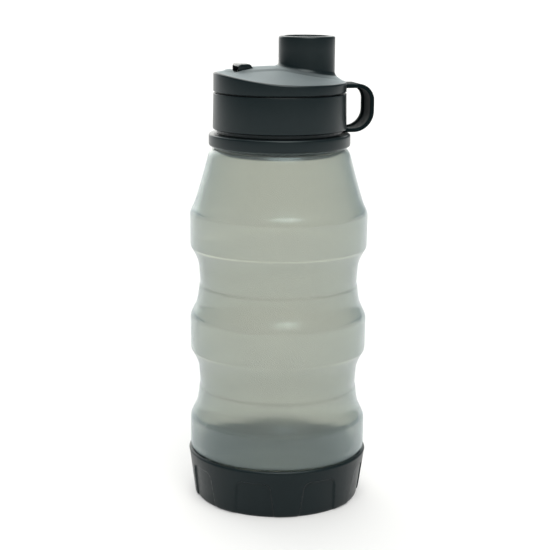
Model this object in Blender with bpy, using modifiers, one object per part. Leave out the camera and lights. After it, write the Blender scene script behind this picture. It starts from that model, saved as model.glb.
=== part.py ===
"""Collapsible silicone water bottle with a screw lid, a wide spout and a carry loop.

Metres, +Z up. The origin is where the bottle's axis meets the table. The spout, the vent
plug and the carry loop lie in the plane y = 0, with the loop towards +X.
"""

import math

import bmesh
import bpy
from mathutils import Matrix, Vector

# Facets and clearances
SEGMENTS = 48
SMALL_SEGMENTS = 24
ARC_STEPS = 3
CORNER_SHARE = 0.45
SHARP_ANGLE = math.radians(35)
BEVEL_ANGLE = math.radians(50)
GAP = 0.0003
OVERSHOOT = 0.002

# Boot: its rim stands proud of the silicone's bands
BOOT_HEIGHT = 0.0239
BOOT_RIM_STEP = 0.0007
BOOT_FLARE = 0.0027
BOOT_CHAMFER = 0.0020
BOOT_WALL = 0.0019
BOOT_FLOOR = 0.0020
BOOT_EDGE = 0.0009
PANEL_COUNT = 8
PANEL_FIRST_ANGLE = math.radians(15.5)
PANEL_HEIGHT = 0.0176
PANEL_DEPTH = 0.0008
PANEL_TOP_WIDTH = 0.0165
PANEL_FOOT_WIDTH = 0.0195
PANEL_CORNER = 0.0030

# Silicone body: wide bands, and folds between them that tuck in when it collapses
BAND_RADIUS = 0.0426
BAND_EDGE_EASE = 0.00025
BAND_EDGE_HEIGHT = 0.0014
BAND_WALL = 0.0022
BAND_HEIGHT = 0.0168
CUP_TOP = 0.0402
CUP_FLOOR = 0.0025
FOLD_WALL = 0.0016
FOLD_HEIGHT = 0.0336
FOLD_FOOT_TAPER = 0.0069
FOLD_HEAD_TAPER = 0.0079
FOLD_CREASE_HEIGHT = 0.0147
FOLD_CREASE_STEP = 0.0010
WAIST_FOOT_DEPTH = 0.0034
WAIST_CREASE_DEPTH = 0.0047
WAIST_CREASE_STEP = 0.0005
WAIST_HEAD_DEPTH = 0.0041
SHOULDER_HEIGHT = 0.0303
SHOULDER_NECK_STEP = 0.0010
SHOULDER_LIP = 0.0019
SHOULDER_LIP_DROP = 0.0030
SHOULDER_MIDDLE_DEPTH = 0.0054
SHOULDER_MIDDLE_HEIGHT = 0.0150
SILICONE_NECK_WALL = 0.0024

# Collar ring and threaded neck insert
COLLAR_WALL = 0.0025
COLLAR_HEIGHT = 0.0059
COLLAR_STANDOFF = 0.0011
COLLAR_EDGE = 0.0012
COLLAR_LIP = 0.0012
INSERT_STEP = 0.0013
INSERT_BARB = 0.0015
INSERT_BARB_HEIGHT = 0.0024
INSERT_DEPTH = 0.0031
FLANGE_INSET = 0.0018
FLANGE_THICKNESS = 0.0014
NECK_WALL = 0.0026
THREAD_ROOM = 0.0020
NECK_HEIGHT = 0.0100

# Screw thread, right-handed: unscrewing turns the lid anticlockwise seen from above
THREAD_PITCH = 0.0050
THREAD_TURNS = 0.95
THREAD_STEPS = 44
THREAD_ROOT = 0.0018
THREAD_CREST = 0.0010
THREAD_SINK = 0.0005
NECK_THREAD_HEIGHT = 0.0014
NECK_THREAD_START = 0.0043
LID_THREAD_HEIGHT = 0.0016
LID_THREAD_DROP = 0.0021

# Lid: gasket, skirt, seal and cover
GASKET_THICKNESS = 0.0018
GASKET_OVERLAP = 0.0004
SKIRT_RADIUS = 0.0315
SKIRT_FLARE = 0.0003
SKIRT_FOOT_EDGE = 0.0009
SKIRT_WALL = 0.0023
SKIRT_ROOF = 0.0016
SKIRT_RECESS = 0.00335
PARTING_GAP = 0.0007
SEAL_THICKNESS = 0.0011
SEAL_WIDTH = 0.0025
PLUG_RING_WALL = 0.0026
PLUG_RING_WEB = 0.0022
COVER_WALL = 0.0020
COVER_EDGE = 0.0009
COVER_EDGE_SHARE = 0.3
CROWN_HEIGHT = 0.0118
CROWN_PEAK_X = -0.0020
CROWN_FALL_POWER = 1.3
CROWN_FALL_CHANGE = 13.0
KEEL_HEIGHT = 0.0005
KEEL_HALF_WIDTH = 0.0088
KEEL_SPOUT_RADIUS = 0.0160
RIM_BACK_HEIGHT = 0.0095
RIM_LOOP_HEIGHT = 0.0048
RIM_SIDE_HEIGHT = 0.0050
RIM_SKEW = -0.00025
COVER_RINGS = (0.25, 0.5, 0.7, 0.85, 0.94)

# Spout, slit valve and its retainer
SPOUT_RIM_ROOM = 0.00525
SPOUT_RADIUS = 0.01335
SPOUT_BORE = 0.0106
SPOUT_HEIGHT = 0.0263
SPOUT_LIP = 0.0012
SPOUT_FILLET = 0.0020
FILLET_SINK = 0.0006
FILLET_LIFT = 0.00015
FILLET_STEPS = 3
FILLET_END_ANGLE = math.radians(15)
VALVE_SEAT_RADIUS = 0.0120
VALVE_SEAT_HEIGHT = 0.0028
VALVE_FLANGE = 0.0013
VALVE_DOME_RADIUS = 0.0096
VALVE_DOME_HEIGHT = 0.0024
VALVE_DOME_CORNER = 0.0032
VALVE_SKIN = 0.0010
SLIT_LENGTH = 0.0110
SLIT_WIDTH = 0.0004
RETAINER_BORE = 0.0092

# Vent plug and its O-ring
VENT_INSET = 0.0136
VENT_BORE = 0.0033
VENT_BOSS_RADIUS = 0.0055
VENT_BOSS_DEPTH = 0.0045
VENT_SEAT_HEIGHT = 0.0098
VENT_AIR_HOLE = 0.0015
PLUG_LENGTH = 0.0073
PLUG_WIDTH = 0.0146
PLUG_INNER_WIDTH = 0.0092
PLUG_HEIGHT = 0.0034
PLUG_CORNER = 0.0026
PLUG_END_CORNER = 0.0016
PLUG_RECESS_DEPTH = 0.0024
PLUG_RECESS_WALL = 0.0009
PLUG_LIP = 0.0013
NAIL_SCOOP = 0.0033
PLUG_STEM_SINK = 0.0005
PLUG_EDGE = 0.0003
PLUG_STEM_RADIUS = 0.0026
PLUG_BARB_RADIUS = 0.0039
PLUG_BARB_LENGTH = 0.0039
PLUG_TIP_RADIUS = 0.0013
PLUG_TRAVEL = 0.0025
O_RING_SECTION = 0.0010
O_RING_EDGE = 0.00025
O_RING_DEPTH = 0.0016

# Carry loop
LOOP_STANDOUT = 0.0128
LOOP_THICKNESS = 0.0019
LOOP_WIDTH = 0.0165
LOOP_EDGE = 0.0003
LOOP_BEAD = 0.0026
LOOP_CHANNEL = 0.0007
LOOP_TAB = 0.0013
LOOP_ROOT = 0.0030
LOOP_TOP_DROP = 0.0018
LOOP_FOOT_RISE = -0.00045
LOOP_TOP_CORNER = 0.0068
LOOP_FOOT_CORNER = 0.0090
LOOP_ARC_STEPS = 7

# Radii and heights that follow from the sizes above
SKIRT_FOOT_RADIUS = SKIRT_RADIUS + SKIRT_FLARE
SKIRT_BORE = SKIRT_RADIUS - SKIRT_WALL
SEAL_BORE = SKIRT_BORE - SEAL_WIDTH
NECK_RADIUS = SKIRT_BORE - THREAD_ROOM
MOUTH_RADIUS = NECK_RADIUS - NECK_WALL
GASKET_BORE = MOUTH_RADIUS - GASKET_OVERLAP
FLANGE_RADIUS = SKIRT_RADIUS - FLANGE_INSET
INSERT_RADIUS = NECK_RADIUS + INSERT_STEP
SILICONE_NECK_RADIUS = INSERT_RADIUS + GAP + SILICONE_NECK_WALL
COLLAR_RADIUS = SILICONE_NECK_RADIUS + COLLAR_WALL
SPOUT_X = SKIRT_RADIUS - SPOUT_RADIUS - SPOUT_RIM_ROOM
VENT_X = VENT_INSET - SKIRT_RADIUS
LOOP_REACH = SKIRT_RADIUS + LOOP_STANDOUT
LOOP_END_RADIUS = SKIRT_RADIUS - LOOP_TAB
BAND_EDGE_RADIUS = BAND_RADIUS - BAND_EDGE_EASE
BOOT_RIM_RADIUS = BAND_RADIUS + BOOT_RIM_STEP
BOOT_FOOT_RADIUS = BOOT_RIM_RADIUS - BOOT_FLARE
WAIST_CREASE_RADIUS = BAND_RADIUS - WAIST_CREASE_DEPTH
SHOULDER_TOP_RADIUS = SILICONE_NECK_RADIUS + SHOULDER_NECK_STEP
LOWER_FOLD_Z = CUP_TOP
MIDDLE_BAND_Z = LOWER_FOLD_Z + FOLD_HEIGHT
UPPER_FOLD_Z = MIDDLE_BAND_Z + BAND_HEIGHT
TOP_BAND_Z = UPPER_FOLD_Z + FOLD_HEIGHT
SHOULDER_Z = TOP_BAND_Z + BAND_HEIGHT
NECK_Z = SHOULDER_Z + SHOULDER_HEIGHT
COLLAR_Z = NECK_Z + COLLAR_STANDOFF
COLLAR_TOP = COLLAR_Z + COLLAR_HEIGHT
FLANGE_Z = COLLAR_TOP + GAP
FLANGE_TOP = FLANGE_Z + FLANGE_THICKNESS
NECK_TOP = FLANGE_TOP + NECK_HEIGHT
SKIRT_Z = FLANGE_TOP + GAP
GASKET_Z = NECK_TOP + GAP
ROOF_Z = GASKET_Z + GASKET_THICKNESS + GAP
ROOF_TOP = ROOF_Z + SKIRT_ROOF
SKIRT_TOP = ROOF_TOP + SKIRT_RECESS
COVER_Z = SKIRT_TOP + PARTING_GAP
SEAL_Z = ROOF_TOP + GAP
PLUG_RING_Z = SEAL_Z + SEAL_THICKNESS + GAP
PLUG_RING_RADIUS = SKIRT_BORE - GAP
CROWN_DATUM = SKIRT_TOP + PARTING_GAP / 2
SPOUT_TOP = CROWN_DATUM + SPOUT_HEIGHT
LEDGE_Z = CROWN_DATUM + VALVE_SEAT_HEIGHT
VENT_SEAT_Z = CROWN_DATUM + VENT_SEAT_HEIGHT
VENT_BOSS_Z = VENT_SEAT_Z - VENT_BOSS_DEPTH


def clear_scene():
    for thing in list(bpy.data.objects):
        bpy.data.objects.remove(thing, do_unlink=True)


def new_collection(name):
    collection = bpy.data.collections.new(name)
    bpy.context.scene.collection.children.link(collection)
    return collection


def finish(name, colour, roughness, transmission=0.0):
    material = bpy.data.materials.new(name)
    material.use_nodes = True
    shader = material.node_tree.nodes["Principled BSDF"]
    shader.inputs["Base Color"].default_value = (*colour, 1.0)
    shader.inputs["Roughness"].default_value = roughness
    shader.inputs["Metallic"].default_value = 0.0
    shader.inputs["Transmission Weight"].default_value = transmission
    return material


def add_piece(name, mesh, material, parent=None, place=(0, 0, 0)):
    piece = bpy.data.objects.new(name, mesh)
    piece.location = place
    piece.parent = parent
    mesh.materials.append(material)
    mesh.shade_smooth()
    mesh.set_sharp_from_angle(angle=SHARP_ANGLE)
    BOTTLE.objects.link(piece)
    return piece


def add_cutter(name, mesh, place=(0, 0, 0)):
    cutter = bpy.data.objects.new(name, mesh)
    cutter.location = place
    cutter.hide_render = True
    cutter.display_type = "WIRE"
    CUTTERS.objects.link(cutter)
    return cutter


def add_frame(name, parent=None, place=(0, 0, 0)):
    """An empty on a joint's axis, which the pieces of one moving body hang from."""
    frame = bpy.data.objects.new(name, None)
    frame.location = place
    frame.parent = parent
    BOTTLE.objects.link(frame)
    return frame


def mesh_from(bm, name):
    mesh = bpy.data.meshes.new(name)
    bmesh.ops.recalc_face_normals(bm, faces=bm.faces)
    bm.to_mesh(mesh)
    bm.free()
    return mesh


def rounded(corners, closed=True):
    """The outline's points, with an arc at each corner that gives a radius as its third number."""
    points = []
    for index, corner in enumerate(corners):
        here = Vector(corner[:2])
        at_end = not closed and index in (0, len(corners) - 1)
        if len(corner) < 3 or at_end:
            points.append(here)
            continue
        before = Vector(corners[index - 1][:2]) - here
        after = Vector(corners[(index + 1) % len(corners)][:2]) - here
        reach = corner[2] / math.tan(before.angle(after) / 2)
        reach = min(reach, CORNER_SHARE * before.length, CORNER_SHARE * after.length)
        start = here + before.normalized() * reach
        end = here + after.normalized() * reach
        for step in range(ARC_STEPS + 1):
            t = step / ARC_STEPS
            points.append(start * (1 - t) ** 2 + here * 2 * t * (1 - t) + end * t**2)
    return points


def arc(centre_x, centre_y, radius, start, end, steps):
    """Points of a circle from one angle to another, both included."""
    points = []
    for step in range(steps + 1):
        angle = start + (end - start) * step / steps
        points.append(Vector((centre_x + radius * math.cos(angle), centre_y + radius * math.sin(angle))))
    return points


def profile_mesh(name, corners, closed):
    bm = bmesh.new()
    verts = [bm.verts.new((p.x, 0, p.y)) for p in rounded(corners, closed)]
    for first, second in zip(verts, verts[1:]):
        bm.edges.new((first, second))
    if closed:
        bm.edges.new((verts[-1], verts[0]))
    mesh = bpy.data.meshes.new(name)
    bm.to_mesh(mesh)
    bm.free()
    return mesh


def spin(thing, segments=SEGMENTS):
    screw = thing.modifiers.new("turned", "SCREW")
    screw.axis = "Z"
    screw.steps = segments
    screw.render_steps = segments
    screw.use_merge_vertices = True
    screw.merge_threshold = 0.00001
    return thing


def turned(name, corners, material, parent=None, x=0, closed=True, segments=SEGMENTS):
    """A turned piece. Its outline runs down the outer side, and one that isn't closed ends on the axis."""
    piece = add_piece(name, profile_mesh(name, corners, closed), material, parent, (x, 0, 0))
    return spin(piece, segments)


def turned_cutter(name, corners, x=0, closed=False, segments=SEGMENTS):
    cutter = add_cutter(name, profile_mesh(name, corners, closed), (x, 0, 0))
    return spin(cutter, segments)


def block_cutter(name, low, high):
    bm = bmesh.new()
    bmesh.ops.create_cube(bm, size=1.0)
    size = [b - a for a, b in zip(low, high)]
    middle = [(a + b) / 2 for a, b in zip(low, high)]
    bmesh.ops.scale(bm, vec=size, verts=bm.verts)
    return add_cutter(name, mesh_from(bm, name), middle)


def combine(piece, other, operation):
    boolean = piece.modifiers.new(other.name, "BOOLEAN")
    boolean.operation = operation
    boolean.solver = "EXACT"
    boolean.object = other


def cut(piece, *cutters):
    for cutter in cutters:
        combine(piece, cutter, "DIFFERENCE")


def join(piece, *others):
    for other in others:
        combine(piece, other, "UNION")


def boot_radius(z):
    """The boot's outer radius at a height: a straight flare from its foot to its rim."""
    share = (z - BOOT_CHAMFER) / (BOOT_HEIGHT - BOOT_EDGE - BOOT_CHAMFER)
    return BOOT_FOOT_RADIUS + share * (BOOT_RIM_RADIUS - BOOT_FOOT_RADIUS)


def boot_bore(z):
    return boot_radius(z) - BOOT_WALL


def make_boot():
    corners = [
        (0, BOOT_FLOOR),
        (boot_bore(BOOT_FLOOR), BOOT_FLOOR),
        (boot_bore(BOOT_HEIGHT), BOOT_HEIGHT),
        (boot_radius(BOOT_HEIGHT), BOOT_HEIGHT, BOOT_EDGE),
        (BOOT_FOOT_RADIUS, BOOT_CHAMFER),
        (BOOT_FOOT_RADIUS - BOOT_CHAMFER, 0),
        (0, 0),
    ]
    boot = turned("boot", corners, DARK_PLASTIC, closed=False)
    core_corners = [
        (0, BOOT_HEIGHT),
        (boot_radius(BOOT_HEIGHT) - PANEL_DEPTH, BOOT_HEIGHT),
        (boot_radius(-OVERSHOOT) - PANEL_DEPTH, -OVERSHOOT),
        (0, -OVERSHOOT),
    ]
    core = turned_cutter("panel_core", core_corners)
    for index in range(PANEL_COUNT):
        panel = add_cutter(f"grip_panel_{index + 1}", panel_mesh())
        panel.rotation_euler.z = PANEL_FIRST_ANGLE + index * math.tau / PANEL_COUNT
        combine(panel, core, "DIFFERENCE")
        cut(boot, panel)


def panel_mesh():
    """A grip panel's outline, narrower at its head, drawn out along +X through the boot's wall."""
    top, foot = PANEL_TOP_WIDTH / 2, PANEL_FOOT_WIDTH / 2
    corners = [
        (foot, -OVERSHOOT),
        (top, PANEL_HEIGHT, PANEL_CORNER),
        (-top, PANEL_HEIGHT, PANEL_CORNER),
        (-foot, -OVERSHOOT),
    ]
    inner, outer = boot_radius(0) / 2, BOOT_RIM_RADIUS + OVERSHOOT
    return drawn_out("grip_panel", rounded(corners), inner, outer)


def drawn_out(name, outline, start, end):
    """A solid whose outline lies in Y and Z and is drawn out along X from start to end."""
    bm = bmesh.new()
    rings = [[bm.verts.new((x, p.x, p.y)) for p in outline] for x in (start, end)]
    bridge(bm, rings)
    for ring in rings:
        bm.faces.new(ring)
    return mesh_from(bm, name)


def drawn_across(name, outline, width):
    """A solid whose outline lies in X and Z and is drawn out along Y, half the width each way."""
    mesh = drawn_out(name, outline, -width / 2, width / 2)
    mesh.transform(Matrix.Rotation(-math.pi / 2, 4, "Z"))
    return mesh


def band_outer(foot_z, head_z):
    """The wide band's outer side, top to bottom, with its edges eased."""
    return [
        (BAND_EDGE_RADIUS, head_z),
        (BAND_RADIUS, head_z - BAND_EDGE_HEIGHT),
        (BAND_RADIUS, foot_z + BAND_EDGE_HEIGHT),
        (BAND_EDGE_RADIUS, foot_z),
    ]


def make_base_cup():
    rim_z = BOOT_HEIGHT + GAP
    floor_z = BOOT_FLOOR + GAP
    seat = boot_bore(rim_z) - GAP
    foot = boot_bore(floor_z) - GAP
    corners = [
        (0, floor_z + CUP_FLOOR),
        (foot - BAND_WALL, floor_z + CUP_FLOOR, CUP_FLOOR),
        (seat - BAND_WALL, rim_z),
        (BAND_RADIUS - BAND_WALL, rim_z + BAND_WALL),
        (BAND_EDGE_RADIUS - BAND_WALL, CUP_TOP),
        (BAND_EDGE_RADIUS, CUP_TOP),
        (BAND_RADIUS, CUP_TOP - BAND_EDGE_HEIGHT),
        (BAND_RADIUS, rim_z),
        (seat, rim_z),
        (foot, floor_z),
        (0, floor_z),
    ]
    turned("silicone_base_cup", corners, SILICONE, closed=False)


def make_band(name, foot_z, parent):
    head_z = foot_z + BAND_HEIGHT
    inner = BAND_RADIUS - BAND_WALL
    corners = band_outer(foot_z, head_z) + [(inner, foot_z), (inner, head_z)]
    turned(name, corners, SILICONE, parent)


def make_fold(name, foot_z, parent):
    """A waist whose wall steps in at a crease half way up, between two tapers out to the bands."""
    head_z = foot_z + FOLD_HEIGHT
    crease_z = foot_z + FOLD_CREASE_HEIGHT
    outer = [
        (BAND_EDGE_RADIUS, head_z - GAP),
        (BAND_RADIUS - WAIST_HEAD_DEPTH, head_z - FOLD_HEAD_TAPER),
        (WAIST_CREASE_RADIUS, crease_z + FOLD_CREASE_STEP),
        (WAIST_CREASE_RADIUS + WAIST_CREASE_STEP, crease_z),
        (BAND_RADIUS - WAIST_FOOT_DEPTH, foot_z + FOLD_FOOT_TAPER),
        (BAND_EDGE_RADIUS, foot_z + GAP),
    ]
    inner = [(r - FOLD_WALL, z) for r, z in reversed(outer)]
    turned(name, outer + inner, SILICONE, parent)


def make_shoulder(parent):
    head_z = NECK_Z - GAP
    lip = (SHOULDER_TOP_RADIUS + SHOULDER_LIP, head_z - SHOULDER_LIP_DROP, SHOULDER_LIP_DROP)
    middle_z = SHOULDER_Z + SHOULDER_MIDDLE_HEIGHT
    middle = (BAND_RADIUS - SHOULDER_MIDDLE_DEPTH, middle_z, SHOULDER_HEIGHT)
    outer = [(SHOULDER_TOP_RADIUS, head_z), lip, middle, (BAND_EDGE_RADIUS, SHOULDER_Z + GAP)]
    inner = [(corner[0] - FOLD_WALL, corner[1]) for corner in reversed(outer)]
    turned("silicone_shoulder", outer + inner, SILICONE, parent)


def make_silicone_neck(parent):
    top = COLLAR_TOP - COLLAR_LIP - GAP
    corners = [
        (SILICONE_NECK_RADIUS, top),
        (SILICONE_NECK_RADIUS, NECK_Z),
        (INSERT_RADIUS + GAP, NECK_Z),
        (INSERT_RADIUS + GAP, top),
    ]
    turned("silicone_neck", corners, SILICONE, parent)


def make_collar(parent):
    bore = SILICONE_NECK_RADIUS + GAP
    lip_bore = INSERT_RADIUS + GAP
    corners = [
        (COLLAR_RADIUS, COLLAR_TOP, COLLAR_EDGE),
        (COLLAR_RADIUS, COLLAR_Z, COLLAR_EDGE),
        (bore, COLLAR_Z),
        (bore, COLLAR_TOP - COLLAR_LIP),
        (lip_bore, COLLAR_TOP - COLLAR_LIP),
        (lip_bore, COLLAR_TOP),
    ]
    turned("collar_ring", corners, DARK_PLASTIC, parent)


def make_neck_insert(parent):
    barb_z = NECK_Z - GAP
    foot_z = NECK_Z - INSERT_DEPTH
    corners = [
        (NECK_RADIUS, NECK_TOP),
        (NECK_RADIUS, FLANGE_TOP),
        (FLANGE_RADIUS, FLANGE_TOP),
        (FLANGE_RADIUS, FLANGE_Z),
        (INSERT_RADIUS, FLANGE_Z),
        (INSERT_RADIUS, barb_z),
        (INSERT_RADIUS + INSERT_BARB, barb_z),
        (INSERT_RADIUS, barb_z - INSERT_BARB_HEIGHT),
        (INSERT_RADIUS, foot_z),
        (MOUTH_RADIUS, foot_z),
        (MOUTH_RADIUS, NECK_TOP),
    ]
    insert = turned("neck_insert", corners, DARK_PLASTIC, parent)
    start_z = FLANGE_TOP + NECK_THREAD_START
    crest = NECK_RADIUS + NECK_THREAD_HEIGHT
    join(insert, add_thread("neck_thread", NECK_RADIUS - THREAD_SINK, crest, start_z))


def add_thread(name, root_radius, crest_radius, start_z):
    """A helical ridge, as a helper that is joined to the wall it grows from."""
    bm = bmesh.new()
    section = [
        (root_radius, THREAD_ROOT / 2),
        (crest_radius, THREAD_CREST / 2),
        (crest_radius, -THREAD_CREST / 2),
        (root_radius, -THREAD_ROOT / 2),
    ]
    rings = []
    for step in range(THREAD_STEPS + 1):
        turn = math.tau * THREAD_TURNS * step / THREAD_STEPS
        rise = start_z + THREAD_PITCH * turn / math.tau
        rings.append(
            [bm.verts.new((r * math.cos(turn), r * math.sin(turn), z + rise)) for r, z in section]
        )
    bridge(bm, rings)
    bm.faces.new(rings[0])
    bm.faces.new(list(reversed(rings[-1])))
    return add_cutter(name, mesh_from(bm, name))


def bridge(bm, rings):
    """Faces between each ring of points and the next, round a tube."""
    count = len(rings[0])
    for first, second in zip(rings, rings[1:]):
        for i in range(count):
            j = (i + 1) % count
            bm.faces.new((first[i], first[j], second[j], second[i]))


def make_gasket(parent):
    outer = SKIRT_BORE - GAP
    top = GASKET_Z + GASKET_THICKNESS
    corners = [(outer, top), (outer, GASKET_Z), (GASKET_BORE, GASKET_Z), (GASKET_BORE, top)]
    turned("lid_gasket", corners, SEAL_RUBBER, parent)


def make_skirt(parent):
    corners = [
        (SKIRT_RADIUS, SKIRT_TOP),
        (SKIRT_FOOT_RADIUS, SKIRT_Z, SKIRT_FOOT_EDGE),
        (SKIRT_BORE, SKIRT_Z),
        (SKIRT_BORE, ROOF_Z),
        (0, ROOF_Z),
    ]
    above = [(0, ROOF_TOP), (SKIRT_BORE, ROOF_TOP), (SKIRT_BORE, SKIRT_TOP)]
    skirt = turned("lid_skirt", above + corners, DARK_PLASTIC, parent, closed=False)
    root = SKIRT_BORE + THREAD_SINK
    start_z = FLANGE_TOP + NECK_THREAD_START - LID_THREAD_DROP
    join(skirt, add_thread("lid_thread", SKIRT_BORE - LID_THREAD_HEIGHT, root, start_z))
    cut(skirt, bore_cutter("roof_spout_hole", RETAINER_BORE, SPOUT_X))
    cut(skirt, bore_cutter("roof_air_hole", VENT_AIR_HOLE, VENT_X))
    foot_slot = (SKIRT_Z - OVERSHOOT, loop_foot_z() + LOOP_THICKNESS / 2 + GAP)
    cut(skirt, loop_slot("skirt_loop_slot", *foot_slot))


def bore_cutter(name, radius, x):
    low, high = ROOF_Z - OVERSHOOT, ROOF_TOP + OVERSHOOT / 2
    corners = [(0, high), (radius, high), (radius, low), (0, low)]
    return turned_cutter(name, corners, x, segments=SMALL_SEGMENTS)


def make_cover_seal(parent):
    top = SEAL_Z + SEAL_THICKNESS
    corners = [
        (PLUG_RING_RADIUS, top),
        (PLUG_RING_RADIUS, SEAL_Z),
        (SEAL_BORE, SEAL_Z),
        (SEAL_BORE, top),
    ]
    turned("cover_seal", corners, SEAL_RUBBER, parent)


def rim_height(angle):
    """The height of the cover's rim above the parting line, round the lid from the loop's side."""
    even = (RIM_LOOP_HEIGHT + RIM_BACK_HEIGHT) / 2
    odd = (RIM_LOOP_HEIGHT - RIM_BACK_HEIGHT) / 2
    second = (even - RIM_SIDE_HEIGHT) / 2
    return (
        even
        - second
        + (odd - RIM_SKEW) * math.cos(angle)
        + second * math.cos(2 * angle)
        + RIM_SKEW * math.cos(3 * angle)
    )


def crown_height(x, y):
    """The cover's height above the parting line: a peak near the axis that falls to the rim."""
    side = max(min(x / SKIRT_RADIUS, 1), -1)
    rim = rim_height(math.acos(side))
    if x < CROWN_PEAK_X:
        end_height, run = RIM_BACK_HEIGHT, SKIRT_RADIUS + CROWN_PEAK_X
    else:
        end_height, run = RIM_LOOP_HEIGHT, SKIRT_RADIUS - CROWN_PEAK_X
    ridge = CROWN_HEIGHT - (CROWN_HEIGHT - end_height) * ((x - CROWN_PEAK_X) / run) ** 2
    half_chord = math.sqrt(max(SKIRT_RADIUS**2 - x * x, 0))
    across = min(abs(y) / max(half_chord, GAP), 1)
    power = CROWN_FALL_POWER + CROWN_FALL_CHANGE * x
    return rim + (ridge - rim) * (1 - across**power)


def cover_mesh(name):
    """The cover's outer skin: a domed top on rings about the axis, an eased edge and the side wall."""
    bm = bmesh.new()
    edge_radius = SKIRT_RADIUS - COVER_EDGE
    radii = [share * edge_radius for share in COVER_RINGS] + [edge_radius]
    rings = []
    for radius in radii:
        rings.append([crown_point(bm, radius, i) for i in range(SEGMENTS)])
    ease = COVER_EDGE_SHARE
    rings.append([crown_point(bm, SKIRT_RADIUS, i, ease, ease) for i in range(SEGMENTS)])
    rings.append([crown_point(bm, SKIRT_RADIUS, i, drop=1) for i in range(SEGMENTS)])
    rings.append([foot_point(bm, i) for i in range(SEGMENTS)])
    bridge(bm, rings)
    peak = bm.verts.new((0, 0, CROWN_DATUM + crown_height(0, 0)))
    for i in range(SEGMENTS):
        bm.faces.new((rings[0][i], rings[0][(i + 1) % SEGMENTS], peak))
    return mesh_from(bm, name)


def crown_point(bm, radius, index, inset=0, drop=0):
    """A point of the cover's top. Inset and drop are shares of the eased edge, for points on it."""
    angle = math.tau * index / SEGMENTS
    x, y = radius * math.cos(angle), radius * math.sin(angle)
    z = CROWN_DATUM + crown_height(x, y) - drop * COVER_EDGE
    pull = 1 - inset * COVER_EDGE / radius
    return bm.verts.new((x * pull, y * pull, z))


def foot_point(bm, index):
    angle = math.tau * index / SEGMENTS
    return bm.verts.new((SKIRT_RADIUS * math.cos(angle), SKIRT_RADIUS * math.sin(angle), COVER_Z))


def thicken(thing, thickness):
    wall = thing.modifiers.new("wall", "SOLIDIFY")
    wall.thickness = thickness
    wall.offset = -1
    wall.use_even_offset = True


def keel():
    """The raised keyhole on the crown, round the spout and the vent plug: part of the dome, lifted."""
    lifted = cover_mesh("keel")
    lifted.transform(Matrix.Translation((0, 0, KEEL_HEIGHT)))
    pad = add_cutter("keel", lifted)
    thicken(pad, KEEL_HEIGHT + COVER_WALL / 2)
    combine(pad, keyhole_block(), "INTERSECT")
    return pad


def keyhole_block():
    """The keyhole's outline drawn up through the crown, with its wide end at the spout."""
    meet = math.pi - math.asin(KEEL_HALF_WIDTH / KEEL_SPOUT_RADIUS)
    outline = arc(SPOUT_X, 0, KEEL_SPOUT_RADIUS, meet, -meet, SEGMENTS)
    side = -math.pi / 2
    outline += arc(VENT_X, 0, KEEL_HALF_WIDTH, side, side - math.pi, SMALL_SEGMENTS // 2)
    bm = bmesh.new()
    heights = (CROWN_DATUM, CROWN_DATUM + 2 * CROWN_HEIGHT)
    rings = [[bm.verts.new((p.x, p.y, z)) for p in outline] for z in heights]
    bridge(bm, rings)
    for ring in rings:
        bm.faces.new(ring)
    return add_cutter("keyhole", mesh_from(bm, "keyhole"))


def spout_fillet():
    """The concave flare round the spout's foot, on the crown and out from the spout's wall."""
    sweep = math.pi / 2 - 2 * FILLET_END_ANGLE
    bm = bmesh.new()
    rings = [fillet_ring(bm, SPOUT_RADIUS - FILLET_SINK, -FILLET_SINK)]
    toe = SPOUT_RADIUS + SPOUT_FILLET * (1 - math.sin(FILLET_END_ANGLE))
    rings.append(fillet_ring(bm, toe, -FILLET_SINK))
    for step in range(FILLET_STEPS + 1):
        angle = FILLET_END_ANGLE + sweep * step / FILLET_STEPS
        radius = SPOUT_RADIUS + SPOUT_FILLET * (1 - math.sin(angle))
        rings.append(fillet_ring(bm, radius, FILLET_LIFT + SPOUT_FILLET * (1 - math.cos(angle))))
    rings.append(fillet_ring(bm, SPOUT_RADIUS - FILLET_SINK, SPOUT_FILLET))
    bridge(bm, rings + rings[:1])
    return add_cutter("spout_fillet", mesh_from(bm, "spout_fillet"))


def fillet_ring(bm, radius, rise):
    """A ring of points about the spout's axis, at one height above the keel."""
    ring = []
    for i in range(SEGMENTS):
        angle = math.tau * i / SEGMENTS
        x, y = SPOUT_X + radius * math.cos(angle), radius * math.sin(angle)
        ring.append(bm.verts.new((x, y, CROWN_DATUM + crown_height(x, y) + KEEL_HEIGHT + rise)))
    return ring


def make_cover(parent):
    cover = add_piece("lid_cover", cover_mesh("lid_cover"), DARK_PLASTIC, parent)
    thicken(cover, COVER_WALL)
    web_foot, web_top = COVER_Z + GAP, COVER_Z + PLUG_RING_WEB
    into_wall = SKIRT_RADIUS - COVER_WALL / 2
    ring_corners = [
        (into_wall, web_top),
        (into_wall, web_foot),
        (PLUG_RING_RADIUS, web_foot),
        (PLUG_RING_RADIUS, PLUG_RING_Z),
        (PLUG_RING_RADIUS - PLUG_RING_WALL + GAP, PLUG_RING_Z),
        (PLUG_RING_RADIUS - PLUG_RING_WALL + GAP, web_top),
    ]
    spout_corners = [
        (0, SPOUT_TOP),
        (SPOUT_RADIUS, SPOUT_TOP, SPOUT_LIP),
        (SPOUT_RADIUS, ROOF_TOP + GAP),
        (0, ROOF_TOP + GAP),
    ]
    slot_half = LOOP_THICKNESS / 2 + GAP
    join(cover, keel(), spout_fillet(), vent_boss())
    cut(cover, vent_pocket(), nail_scoop(), vent_bore_cutter())
    join(cover, turned_cutter("plug_ring", ring_corners, closed=True))
    cut(cover, loop_slot("cover_loop_slot", loop_top_z() - slot_half, loop_top_z() + slot_half))
    join(cover, turned_cutter("spout_tube", spout_corners, SPOUT_X))
    cut(cover, spout_bore_cutter())


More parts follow.
